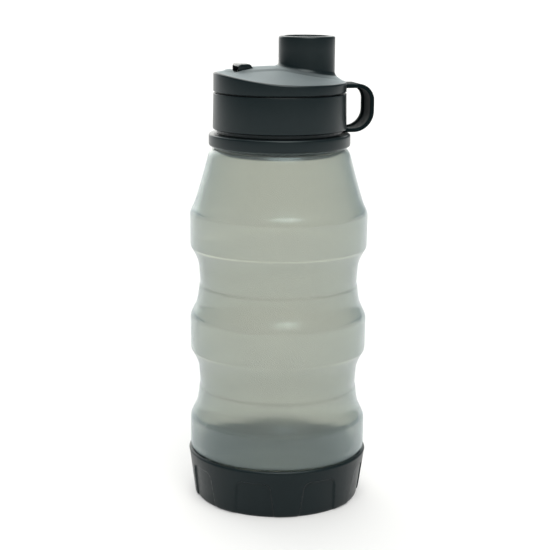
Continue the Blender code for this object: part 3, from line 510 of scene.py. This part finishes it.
def inner_side(outline, wall, end_wall):
    """The outline's inner side, upwards, whose wall changes to another value at both ends."""
    head, foot = outline[0][1], outline[-1][1]
    inner = []
    for radius, height in reversed(outline):
        share = min(min(height - foot, head - height) / WALL_FADE, 1)
        inner.append((radius - end_wall - (wall - end_wall) * max(share, 0), height))
    return inner


print("waist outline:", len(waist_outline(cup_top)), "points")

# %% Turn the bands, waists and shoulder
def silicone_sleeve(name, outline, wall, body, stands_for, capped=False):
    """A sleeve of silicone, outer side and inner side. Its foot is open, and so is its head unless it is capped."""
    inner = inner_side(outline, wall, BAND_WALL)
    if capped:
        bm = turn_outline(inner + outline)
    else:
        bm = turn_outline(outline)
        turn_outline(inner, bm=bm)
    return make_piece(name, bm, clouded_silicone, body, "silicone", stands_for)


silicone_sleeve("middle_band", band_outline(middle_foot, middle_head), BAND_WALL, "middle", "silicone_band_middle")
silicone_sleeve("top_band", band_outline(top_foot, top_head), BAND_WALL, "top", "silicone_band_top")
lower_waist = silicone_sleeve("lower_waist", waist_outline(cup_top), WAIST_WALL, "base", "silicone_fold_lower")
upper_waist = silicone_sleeve("upper_waist", waist_outline(middle_head), WAIST_WALL, "middle", "silicone_fold_upper")
shoulder = silicone_sleeve(
    "shoulder", shoulder_outline(top_head, shoulder_head), WAIST_WALL, "top", "silicone_shoulder", capped=True
)

# %% [markdown]
# ### Giving the waists their own meshes
#
# When the bottle is pressed flat, each waist shortens and its neighbour comes down by the joint's travel. Here each
# waist and the shoulder only get a mesh of their own.


def fold_down(piece):
    """The piece gets a mesh of its own."""
    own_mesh(piece)


fold_down(lower_waist)
fold_down(upper_waist)
fold_down(shoulder)

# %% [markdown]
# ### The cup that stands in the boot
#
# The bottom of the body is a cup. Above the boot it is as wide as the bands, then it steps in over the boot's rim
# and goes down inside it to a thick floor. Both sides are one outline: down the outside to the middle of the floor,
# and back up the inside.

# %% Turn the base cup
BOOT_RIM_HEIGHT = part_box("boot")[1].z
CUP_FLOOR_LOW, CUP_FLOOR_HIGH = 0.0023, 0.0050
CUP_SEAT_GAP = 0.0003
cup_seat = BOOT_RIM_HEIGHT + CUP_SEAT_GAP
cup_outside = [
    (JOIN_RADIUS, cup_top),
    (band_radius - EDGE_INSET, cup_top - 0.0006),
    (band_radius, cup_top - 0.0016),
    (band_radius - 0.00003, cup_seat + 0.0022),
    (band_radius - 0.00015, cup_seat + 0.0008),
    (band_radius - 0.0007, cup_seat),
    (0.0411, cup_seat),
    (0.0384, CUP_FLOOR_LOW + 0.0010),
    (0.0374, CUP_FLOOR_LOW),
    (0, CUP_FLOOR_LOW),
]
cup_inside = [
    (0, CUP_FLOOR_HIGH),
    (0.0340, CUP_FLOOR_HIGH),
    (0.0358, CUP_FLOOR_HIGH + 0.0006),
    (0.0366, CUP_FLOOR_HIGH + 0.0022),
    (0.0389, cup_seat - 0.0006),
    (JOIN_RADIUS - BAND_WALL, cup_seat + 0.0026),
    (JOIN_RADIUS - BAND_WALL, cup_top),
]
cup = turn_outline(cup_outside)
turn_outline(cup_inside, bm=cup)
make_piece("base_cup", cup, clouded_silicone, "base", "silicone", "silicone_base_cup")

# %% [markdown]
# ## The boot
#
# The boot is a dark rigid cup with eight recessed grip panels that are open at the foot. A Boolean would leave sharp
# rims, so the wall is a grid instead whose points are pushed in wherever they lie inside a panel. The signed
# distance to a rounded panel says how far in a point is, and grid lines crowd together near the panels' edges.

# %% Shape the boot
PANEL_COUNT = 8
PANEL_TURN = math.radians(15.5)
PANEL_DEPTH = 0.0008
PANEL_HEAD_HEIGHT = 0.0176
PANEL_HEAD_HALF, PANEL_FOOT_HALF = 0.00825, 0.00975
PANEL_CORNER = 0.0032
PANEL_EASE = 0.00035
BOOT_EDGE = 0.0010
BOOT_FOOT_ROUND = 0.0020
BOOT_FLARE = 0.0027
BOOT_WALL, BOOT_FLOOR = 0.0019, 0.0020
boot_rim_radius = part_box("boot")[1].x
boot_foot_radius = boot_rim_radius - BOOT_FLARE


def boot_radius(height):
    """The boot's flare, a straight line from its foot to its rim."""
    share = (height - BOOT_FOOT_ROUND) / (BOOT_RIM_HEIGHT - BOOT_EDGE - BOOT_FOOT_ROUND)
    return boot_foot_radius + share * (boot_rim_radius - boot_foot_radius)


def panel_push(across, height):
    """How far a point of the wall is pushed in. Across is measured along the wall from the panel's middle."""
    half = PANEL_FOOT_HALF + (PANEL_HEAD_HALF - PANEL_FOOT_HALF) * height / PANEL_HEAD_HEIGHT
    out_x, out_z = abs(across) - half + PANEL_CORNER, height - PANEL_HEAD_HEIGHT + PANEL_CORNER
    outside = math.hypot(max(out_x, 0), max(out_z, 0))
    distance = outside + min(max(out_x, out_z), 0) - PANEL_CORNER
    share = min(max((PANEL_EASE - distance) / (2 * PANEL_EASE), 0), 1)
    return PANEL_DEPTH * share * share * (3 - 2 * share)


# %% Spread the grid lines of the boot's wall
FINE_STEP = 0.00035
COARSE_STEP_AROUND, COARSE_STEP_UP = 0.0016, 0.0030
FINE_PAST_PANEL, FINE_FROM_HEIGHT = 0.0006, 0.0140


def crowd(low, high, fine, coarse, hot_low, hot_high):
    """Numbers from low to high, fine apart inside the hot stretch and coarse apart outside it."""
    numbers, here = [], low
    while here < high - fine / 2:
        numbers.append(here)
        here += fine if hot_low - fine <= here <= hot_high else coarse
    return numbers + [high]


half_period = math.pi / PANEL_COUNT * boot_rim_radius
fine_from, fine_to = PANEL_HEAD_HALF - PANEL_CORNER, PANEL_FOOT_HALF + FINE_PAST_PANEL
side = crowd(0, half_period, FINE_STEP, COARSE_STEP_AROUND, fine_from, fine_to)
period = [-offset for offset in reversed(side[1:-1])] + side
wall_angles = []
for panel in range(PANEL_COUNT):
    middle = PANEL_TURN + math.tau * panel / PANEL_COUNT
    wall_angles += [(middle + offset / boot_rim_radius, offset) for offset in period]
wall_foot, wall_head, fine_to = BOOT_FOOT_ROUND, BOOT_RIM_HEIGHT - BOOT_EDGE, PANEL_HEAD_HEIGHT + PANEL_EASE
wall_heights = crowd(wall_foot, wall_head, FINE_STEP, COARSE_STEP_UP, FINE_FROM_HEIGHT, fine_to)
print("boot wall:", len(wall_angles), "by", len(wall_heights), "lines")


# %% Build the boot
def boot_ring(bm, radius, height, share):
    """One ring of the boot. Share is how much of the panels' depth it takes."""
    ring = []
    for angle, offset in wall_angles:
        across = offset * radius / boot_rim_radius
        pushed = radius - share * panel_push(across, height)
        ring.append(bm.verts.new((pushed * math.cos(angle), pushed * math.sin(angle), height)))
    return ring


def boot_rings(bm):
    """Every ring, from the outer rim down the wall, under the foot and back up the inside."""
    rim_height, bore = BOOT_RIM_HEIGHT, boot_radius(BOOT_RIM_HEIGHT) - BOOT_WALL
    quarter = quarter_turn(4)
    rings = [boot_ring(bm, bore, rim_height, 0)]
    for angle in quarter:
        radius = boot_radius(rim_height) - BOOT_EDGE + BOOT_EDGE * math.sin(angle)
        rings.append(boot_ring(bm, radius, rim_height - BOOT_EDGE + BOOT_EDGE * math.cos(angle), 0))
    for height in reversed(wall_heights):
        rings.append(boot_ring(bm, boot_radius(height), height, 1))
    for angle in quarter[1:]:
        radius = boot_foot_radius - BOOT_FOOT_ROUND * (1 - math.cos(angle))
        height = BOOT_FOOT_ROUND * (1 - math.sin(angle))
        rings.append(boot_ring(bm, radius, height, math.cos(angle)))
    rings.append([bm.verts.new((0, 0, 0))])
    return rings


boot = bmesh.new()
rings = boot_rings(boot)
for upper, lower in zip(rings, rings[1:]):
    skin(boot, upper, lower)
floor_middle = [boot.verts.new((0, 0, BOOT_FLOOR))]
floor_edge = boot_ring(boot, boot_radius(BOOT_FLOOR) - BOOT_WALL, BOOT_FLOOR, 0)
skin(boot, floor_middle, floor_edge)
skin(boot, floor_edge, rings[0])
make_piece("grip_boot", boot, slate_matt, "base", "dark_plastic", "boot")

# %% [markdown]
# ## Collar and skirt
#
# The collar clamps the silicone neck. Its broad rounded edges catch a bright line at the top, which is most of what
# is seen of it. The skirt is the lower shell of the lid, with a slightly flared and rounded foot and a small crisp
# edge at the parting line. Both are closed rings, and the skirt's roof is pierced where the water and the air pass.

# %% Turn the collar
COLLAR_BORE = 0.0316
COLLAR_LIP_BORE, COLLAR_LIP_MOUTH = 0.0289, 0.0298
COLLAR_LIP_THICKNESS = 0.0012
collar_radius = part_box("collar_ring")[1].x
collar_outline = eased(
    [
        (COLLAR_LIP_MOUTH, collar_top),
        (collar_radius, collar_top, 0.0010),
        (collar_radius, collar_foot, 0.0013),
        (COLLAR_BORE, collar_foot, 0.0003),
        (COLLAR_BORE, collar_top - COLLAR_LIP_THICKNESS),
        (COLLAR_LIP_BORE, collar_top - COLLAR_LIP_THICKNESS),
        (COLLAR_LIP_BORE, collar_top - 0.0004),
    ]
)
make_piece(
    "collar", turn_outline(collar_outline, closed=True), slate_satin, "neck", "dark_plastic", "collar_ring"
)

# %% Turn and pierce the skirt
SKIRT_BORE = 0.0292
ROOF_LOW, ROOF_HIGH = 0.1924, 0.1940
SPOUT_X, VENT_X = 0.0129, -0.0179
WATER_HOLE, AIR_HOLE = 0.0092, 0.0015
skirt_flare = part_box("lid_skirt")[1].x
skirt_outline = eased(
    [
        (SKIRT_BORE, skirt_top, 0.0002),
        (lid_radius, skirt_top, 0.00035),
        (skirt_flare, skirt_foot, 0.0009),
        (SKIRT_BORE, skirt_foot, 0.0003),
        (SKIRT_BORE, ROOF_LOW),
    ]
)
skirt_bm = turn_outline([(0, ROOF_HIGH), (SKIRT_BORE, ROOF_HIGH)] + skirt_outline + [(0, ROOF_LOW)])
skirt = make_piece("lid_band", skirt_bm, slate_satin, "lid", "dark_plastic", "lid_skirt")


def rod(radius, low, high, x=0.0, around=48):
    """A plain rod, for cutting a round hole."""
    return turn_outline([(0, high), (radius, high), (radius, low), (0, low)], x, around=around)


for radius, x in ((WATER_HOLE, SPOUT_X), (AIR_HOLE, VENT_X)):
    carve(skirt, rod(radius, ROOF_LOW - 0.002, ROOF_HIGH + 0.001, x))
print("skirt faces after piercing:", len(skirt.data.polygons))

# %% [markdown]
# ## The lid's cover
#
# The cover is the most shaped piece: a crown that is high at the back and low towards the loop, a raised keyhole
# that joins the spout to the vent plug, and a round spout that grows out of the crown through a small fillet. All of
# it is one skin of rings about the spout's axis. Near the spout the rings are circles. Further out each ring slides
# towards the lid's round edge, so the fillet, the crown and the rim each get rings that follow them.

# %% The crown's height
CROWN_PEAK_X = -0.0020
CROWN_HIGH = 0.0118
RIM_BACK, RIM_LOOP, RIM_SIDE, RIM_SKEW = 0.0095, 0.0048, 0.0050, -0.00025
RIDGE_SOFTNESS = 0.0030
FALL_POWER, FALL_POWER_SLOPE = 1.3, 13
LEAST_SPAN = 0.0001
KEEL_LIFT, KEEL_SOFT = 0.0005, 0.0022
KEEL_HALF, KEEL_SPOUT = 0.0088, 0.0160
KEEL_BLEND, KEEL_FILLET = 0.004, 0.001
PARTING_GAP = 0.0007
parting = skirt_top + PARTING_GAP / 2


def rim_height(angle):
    """The rim's height above the parting line, round from the loop."""
    even, odd = (RIM_LOOP + RIM_BACK) / 2, (RIM_LOOP - RIM_BACK) / 2
    second = (even - RIM_SIDE) / 2
    wave = (odd - RIM_SKEW) * math.cos(angle) + second * math.cos(2 * angle)
    return even - second + wave + RIM_SKEW * math.cos(3 * angle)


def keel_lift(x, y):
    """The raised keyhole: a disc round the spout and a bar to the vent, run together softly."""
    disc = math.hypot(x - SPOUT_X, y) - KEEL_SPOUT
    bar = math.hypot(x - min(max(x, VENT_X), SPOUT_X), y) - KEEL_HALF
    near = max(KEEL_BLEND - abs(disc - bar), 0) / KEEL_BLEND
    distance = min(disc, bar) - near * near * KEEL_FILLET
    share = min(max(0.5 - distance / KEEL_SOFT, 0), 1)
    return KEEL_LIFT * share * share * (3 - 2 * share)


def crown(x, y):
    """The height of the cover's top at a place."""
    rim = rim_height(math.acos(max(min(x / lid_radius, 1), -1)))
    end = RIM_BACK if x < CROWN_PEAK_X else RIM_LOOP
    run = lid_radius + CROWN_PEAK_X if x < CROWN_PEAK_X else lid_radius - CROWN_PEAK_X
    ridge = CROWN_HIGH - (CROWN_HIGH - end) * ((x - CROWN_PEAK_X) / run) ** 2
    chord = math.sqrt(max(lid_radius**2 - x * x, 0))
    soft = RIDGE_SOFTNESS
    across = (math.hypot(y, soft) - soft) / max(math.hypot(chord, soft) - soft, LEAST_SPAN)
    fall = min(across, 1) ** (FALL_POWER + FALL_POWER_SLOPE * x)
    return parting + rim + (ridge - rim) * (1 - fall) + keel_lift(x, y)


print("crown at the middle:", round(1000 * crown(0, 0), 2), "mm")

# %% Rings about the spout
SPOUT_RADIUS, SPOUT_BORE = 0.01335, 0.0106
FILLET = 0.0021
LIP_OUTER, LIP_INNER = 0.0011, 0.0007
COVER_EDGE = 0.0010
COVER_AROUND = 192
COVER_WALL = 0.0022
KEEL_RINGS = (0.0002, 0.0005, 0.0008, 0.0011, 0.0014)
CROWN_RINGS = 36
SPIGOT_RADIUS, SPIGOT_BORE, SPIGOT_FOOT = 0.0289, 0.0266, 0.1957
VALVE_SEAT_RADIUS, LEDGE = 0.0120, 0.2005
tube_foot = ROOF_HIGH + 0.0003
cover_foot = skirt_top + PARTING_GAP
rays = [math.tau * k / COVER_AROUND for k in range(COVER_AROUND)]


def spout_ring(bm, radius, height):
    """A level ring about the spout's axis."""
    return [bm.verts.new((SPOUT_X + radius * math.cos(a), radius * math.sin(a), height)) for a in rays]


def crown_ring(bm, reach, rise=0.0):
    """A ring that lies on the crown, or a rise above it. Reach gives its distance from the spout's axis."""
    ring = []
    for a in rays:
        x, y = SPOUT_X + reach(a) * math.cos(a), reach(a) * math.sin(a)
        ring.append(bm.verts.new((x, y, crown(x, y) + rise)))
    return ring


def to_circle(a, radius):
    """How far a ray from the spout's axis goes before it meets a circle about the lid's axis."""
    return math.sqrt(radius**2 - (SPOUT_X * math.sin(a)) ** 2) - SPOUT_X * math.cos(a)


def edge_ring(bm, radius, height_of):
    """A ring on a circle about the lid's axis, in step with the rays."""
    ring = []
    for a in rays:
        reach = to_circle(a, lid_radius - COVER_EDGE)
        x, y = SPOUT_X + reach * math.cos(a), reach * math.sin(a)
        turn = math.atan2(y, x)
        ring.append(bm.verts.new((radius * math.cos(turn), radius * math.sin(turn), height_of(x, y))))
    return ring


# %% Build the cover
def spout_rings(bm):
    """From the valve's ledge up the bore, over the lip and down the outside to the fillet."""
    top, quarter = spout_top, quarter_turn(5)
    rings = [spout_ring(bm, SPOUT_BORE, LEDGE), spout_ring(bm, SPOUT_BORE, (LEDGE + top) / 2)]
    for angle in quarter:
        inner = SPOUT_BORE + LIP_INNER * (1 - math.cos(angle))
        rings.append(spout_ring(bm, inner, top - LIP_INNER * (1 - math.sin(angle))))
    for angle in quarter:
        outer = SPOUT_RADIUS - LIP_OUTER * (1 - math.sin(angle))
        rings.append(spout_ring(bm, outer, top - LIP_OUTER * (1 - math.cos(angle))))
    rings.append(spout_ring(bm, SPOUT_RADIUS, top - 0.006))
    for angle in reversed(quarter):
        reach = SPOUT_RADIUS + FILLET * (1 - math.sin(angle))
        rings.append(crown_ring(bm, lambda a, r=reach: r, FILLET * (1 - math.cos(angle))))
    return rings


def crown_rings(bm):
    """From the fillet's toe out to the rim, first in step with the keel's edge and then in even shares."""
    toe = SPOUT_RADIUS + FILLET
    start, rim = toe + KEEL_RINGS[-1], lid_radius - COVER_EDGE
    rings = [crown_ring(bm, lambda a, r=toe + offset: r) for offset in KEEL_RINGS]
    for k in range(1, CROWN_RINGS + 1):
        rings.append(crown_ring(bm, lambda a, s=k / CROWN_RINGS: start + s * (to_circle(a, rim) - start)))
    return rings


def rim_rings(bm):
    """Over the eased rim, down the side to the parting line, and the ring that plugs into the skirt."""
    rings = []
    for angle in quarter_turn(5)[1:]:
        radius = lid_radius - COVER_EDGE * (1 - math.sin(angle))
        rings.append(edge_ring(bm, radius, lambda x, y, a=angle: crown(x, y) - COVER_EDGE * (1 - math.cos(a))))
    for radius, height in (
        (lid_radius, cover_foot + 0.0003),
        (lid_radius - 0.0003, cover_foot),
        (SPIGOT_RADIUS, cover_foot),
        (SPIGOT_RADIUS, SPIGOT_FOOT),
        (SPIGOT_BORE, SPIGOT_FOOT),
        (SPIGOT_BORE, cover_foot + COVER_WALL),
    ):
        rings.append(edge_ring(bm, radius, lambda x, y, z=height: z))
    return rings


def under_rings(bm):
    """Back under the crown to the spout's tube, down its outside and up into the valve's seat."""
    tube, rings = SPOUT_RADIUS, []
    for share in (1.0, 0.75, 0.5, 0.25, 0.0):
        rings.append(crown_ring(bm, lambda a, s=share: tube + s * (to_circle(a, SPIGOT_BORE) - tube), -COVER_WALL))
    rings.append(spout_ring(bm, tube, tube_foot))
    rings.append(spout_ring(bm, VALVE_SEAT_RADIUS, tube_foot))
    rings.append(spout_ring(bm, VALVE_SEAT_RADIUS, LEDGE))
    return rings


cover_bm = bmesh.new()
spout_part, crown_part = spout_rings(cover_bm), crown_rings(cover_bm)
rings = spout_part + crown_part + rim_rings(cover_bm) + under_rings(cover_bm)
for upper, lower in zip(rings, rings[1:] + rings[:1]):
    skin(cover_bm, upper, lower)
cover = make_piece("lid_crown", cover_bm, slate_satin, "lid", "dark_plastic", "lid_cover")
cover.data.materials.append(slate_crown)
crown_start, crown_end = len(spout_part) - 3, len(spout_part) + len(crown_part) - 1
for face in cover.data.polygons:
    face.material_index = int(crown_start <= face.index // COVER_AROUND < crown_end)

# %% [markdown]
# ### The pocket, the bore and the slots
#
# The vent plug's head sits in a shallow pocket with a hole for its stem. The pocket runs on past the plug's wide end
# as a scoop for a fingernail. The carry loop's ends plug into slots in the cover and in the foot of the skirt. These
# are true cuts, so they are made with Booleans: upright solids for the pocket and the slots, and a rod for the hole.

# %% Cut the cover
PLUG_LENGTH, PLUG_HEIGHT = 0.0073, 0.0034
PLUG_OUTER_WIDTH, PLUG_INNER_WIDTH = 0.0146, 0.0092
NAIL_SCOOP, SCOOP_CORNER = 0.0022, 0.0015
POCKET_ROOM, POCKET_CORNER = 0.0003, 0.0010
SEAT, STEM_HOLE = 0.2075, 0.0033
SLOT_ROOM = 0.0002
LOOP_THICKNESS, LOOP_END_RADIUS = 0.0019, lid_radius - 0.0013
LOOP_WIDTH, LOOP_REACH = 2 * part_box("carry_loop")[1].y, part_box("carry_loop")[1].x
loop_low, loop_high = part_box("carry_loop")[0].z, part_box("carry_loop")[1].z


def upright(outline, low, high):
    """A solid with a level outline, from one height to another."""
    bm = bmesh.new()
    levels = [[bm.verts.new((x, y, z)) for x, y in outline] for z in (high, low)]
    skin(bm, *levels)
    bm.faces.new(levels[0])
    bm.faces.new(levels[1][::-1])
    return bm


def plug_half(x):
    """Half of the plug's width, which narrows towards the spout."""
    share = 0.5 - (x - VENT_X) / PLUG_LENGTH
    return (PLUG_INNER_WIDTH + share * (PLUG_OUTER_WIDTH - PLUG_INNER_WIDTH)) / 2


def strap_slot(low, high):
    """A slot for the strap's end, round at its inner end like the lid itself."""
    half, radius = LOOP_WIDTH / 2 + SLOT_ROOM, LOOP_END_RADIUS - SLOT_ROOM
    reach = math.asin(half / radius)
    inner = [(radius * math.cos(a), radius * math.sin(a)) for a in (reach * (k / 6 - 1) for k in range(13))]
    return upright([(0.04, -half), (0.04, half), *reversed(inner)], low, high)


plug_end = VENT_X - PLUG_LENGTH / 2
scoop_x, scoop_half = plug_end - NAIL_SCOOP, PLUG_OUTER_WIDTH / 2 + POCKET_ROOM
pocket_x = VENT_X + PLUG_LENGTH / 2 + POCKET_ROOM
pocket_half = plug_half(pocket_x) + POCKET_ROOM
pocket = [
    (scoop_x, -scoop_half, SCOOP_CORNER),
    (plug_end, -scoop_half),
    (pocket_x, -pocket_half, POCKET_CORNER),
    (pocket_x, pocket_half, POCKET_CORNER),
    (plug_end, scoop_half),
    (scoop_x, scoop_half, SCOOP_CORNER),
]
carve(cover, upright(eased(pocket), SEAT, SEAT + 0.01))
carve(cover, rod(STEM_HOLE, SEAT - 0.01, SEAT + 0.002, VENT_X))
carve(cover, strap_slot(loop_high - LOOP_THICKNESS - SLOT_ROOM, loop_high + SLOT_ROOM))
carve(skirt, strap_slot(skirt_foot - 0.001, loop_low + LOOP_THICKNESS + SLOT_ROOM))
print("cover faces after cutting:", len(cover.data.polygons))

# %% [markdown]
# ## The vent plug
#
# A fingernail lifts this plug to let air in. Its head is a loaf that narrows towards the spout and is rounded over
# the top, with a hollow under its wide outer end for the nail. The side outline is drawn once and given its width, a
# Bevel modifier rounds the edges that are left, and the hollow is cut after that so that its rim stays thin. The stem
# is a turned rod with a barb at its foot.

# %% Shape the vent plug
RECESS_DEPTH, RECESS_WALL, PLUG_LIP = 0.0024, 0.0006, 0.0011
CUT_PAST = 0.002
PLUG_INNER_ROUND, PLUG_OUTER_ROUND, PLUG_EDGE = 0.0026, 0.0016, 0.0009
STEM_RADIUS, GROOVE_RADIUS, BARB_RADIUS, TIP_RADIUS = 0.0026, 0.0017, 0.0039, 0.0013
GROOVE_TOP, GROOVE_FOOT, BARB_TOP, TIP_DEPTH = 0.0016, 0.0032, 0.0073, 0.0112
plug_foot = SEAT + POCKET_ROOM
plug_top, stem_top = plug_foot + PLUG_HEIGHT, plug_foot + 0.0005
side_outline = eased(
    [
        (VENT_X + PLUG_LENGTH / 2, plug_foot),
        (VENT_X + PLUG_LENGTH / 2, plug_top, PLUG_INNER_ROUND),
        (plug_end, plug_top, PLUG_OUTER_ROUND),
        (plug_end, plug_foot),
    ],
    steps=6,
)
plug_bm = bmesh.new()
sides = [[plug_bm.verts.new((x, side * plug_half(x), z)) for x, z in side_outline] for side in (-1, 1)]
skin(plug_bm, *sides)
plug_bm.faces.new(sides[0])
plug_bm.faces.new(sides[1][::-1])
bmesh.ops.recalc_face_normals(plug_bm, faces=plug_bm.faces)
plug = make_piece("vent_head", plug_bm, slate_satin, "vent", "dark_plastic", "vent_plug")
rounding = plug.modifiers.new("rounding", "BEVEL")
rounding.width = PLUG_EDGE
rounding.segments = 3
rounding.angle_limit = math.radians(50)
bake_modifiers(plug)

# %% Hollow the plug and join its stem
mouth, back = plug_end - CUT_PAST, plug_end + RECESS_DEPTH
mouth_half, back_half = plug_half(mouth) - RECESS_WALL, plug_half(back) - RECESS_WALL
recess = [(mouth, -mouth_half), (back, -back_half), (back, back_half), (mouth, mouth_half)]
carve(plug, upright(recess, plug_foot - CUT_PAST, plug_top - PLUG_LIP))
stem_outline = [
    (0, stem_top),
    (STEM_RADIUS, stem_top),
    (STEM_RADIUS, SEAT - GROOVE_TOP),
    (GROOVE_RADIUS, SEAT - GROOVE_TOP),
    (GROOVE_RADIUS, SEAT - GROOVE_FOOT),
    (STEM_RADIUS, SEAT - GROOVE_FOOT),
    (STEM_RADIUS, SEAT - BARB_TOP),
    (BARB_RADIUS, SEAT - BARB_TOP),
    (TIP_RADIUS, SEAT - TIP_DEPTH),
    (0, SEAT - TIP_DEPTH),
]
carve(plug, turn_outline(stem_outline, VENT_X, around=48), "UNION")
print("vent plug faces:", len(plug.data.polygons))

# %% [markdown]
# ## The carry loop
#
# The loop is a flexible strap, plugged into the cover above and the skirt below. Its path is two arcs of unlike
# radius, and its section is a flat bar with rounded outer edges and a low bead along each edge of the inner face.
# The section is carried along the path, turned square to it at every step.

# %% Sweep the strap
TOP_ARC, FOOT_ARC = 0.0068, 0.0090
ARC_STEPS = 16
ROOT_X = LOOP_END_RADIUS - 0.0030
BEAD_WIDTH, BEAD_HEIGHT, BEAD_SLOPE = 0.0026, 0.0007, 0.0002
STRAP_OUTER_ROUND, STRAP_INNER_ROUND, BEAD_ROUND, BEAD_TOE_ROUND = 0.0007, 0.0005, 0.0003, 0.0002


def loop_path():
    """The strap's middle line in the plane of the lid, from its upper end round to its lower one."""
    half = LOOP_THICKNESS / 2
    x, top_z, foot_z = LOOP_REACH - half, loop_high - half, loop_low + half
    path = [Vector((ROOT_X + t * (x - TOP_ARC - ROOT_X), top_z)) for t in (0, 0.5)]
    for centre_z, radius, start in ((top_z - TOP_ARC, TOP_ARC, math.pi / 2), (foot_z + FOOT_ARC, FOOT_ARC, 0)):
        for turned in quarter_turn(ARC_STEPS):
            angle = start - turned
            path.append(Vector((x - radius + radius * math.cos(angle), centre_z + radius * math.sin(angle))))
    path += [Vector((ROOT_X + t * (x - FOOT_ARC - ROOT_X), foot_z)) for t in (0.5, 0)]
    return path


def strap_section():
    """Points of (across the strap, out from its middle line), once round."""
    half_width, half = LOOP_WIDTH / 2, LOOP_THICKNESS / 2
    bead = half_width - BEAD_WIDTH
    corners = [
        (-half_width, half, STRAP_OUTER_ROUND),
        (half_width, half, STRAP_OUTER_ROUND),
        (half_width, -half, STRAP_INNER_ROUND),
        (bead, -half, BEAD_ROUND),
        (bead - BEAD_SLOPE, -half + BEAD_HEIGHT, BEAD_TOE_ROUND),
        (-bead + BEAD_SLOPE, -half + BEAD_HEIGHT, BEAD_TOE_ROUND),
        (-bead, -half, BEAD_ROUND),
        (-half_width, -half, STRAP_INNER_ROUND),
    ]
    return eased(corners, steps=3)


# %% Build the strap
path = loop_path()
loop_bm = bmesh.new()
rings = []
for k, here in enumerate(path):
    along = (path[min(k + 1, len(path) - 1)] - path[max(k - 1, 0)]).normalized()
    outward = Vector((-along.y, along.x))
    ring = []
    for across, out in strap_section():
        spot = here + outward * out
        ring.append(loop_bm.verts.new((spot.x, across, spot.y)))
    rings.append(ring)
for first, second in zip(rings, rings[1:]):
    skin(loop_bm, first, second)
loop_bm.faces.new(rings[0])
loop_bm.faces.new(rings[-1][::-1])
bmesh.ops.recalc_face_normals(loop_bm, faces=loop_bm.faces)
strap = make_piece("loop_strap", loop_bm, strap_rubber, "lid", "dark_strap", "carry_loop")
carve(strap, rod(LOOP_END_RADIUS, loop_low - 0.002, loop_high + 0.002, around=96))

# %% [markdown]
# ## Pieces kept from the CAD
#
# What sits inside the lid has the right shape already and barely shows, so it keeps its CAD solid and only gets its
# finish: slate plastic for the threaded neck and the valve's ring, pale rubber for the valve and the seals, and
# clouded silicone for the neck under the collar.

# %% Finish the kept pieces
kept = {
    "silicone_neck": clouded_silicone,
    "neck_insert": slate_satin,
    "valve_retainer": slate_satin,
    "lid_gasket": seal_silicone,
    "cover_seal": seal_silicone,
    "spout_valve": seal_silicone,
    "vent_o_ring": seal_silicone,
}
for name, finish in kept.items():
    for place in nodes[name].material_slots:
        place.material = finish
    print(name, "is", finish.name)
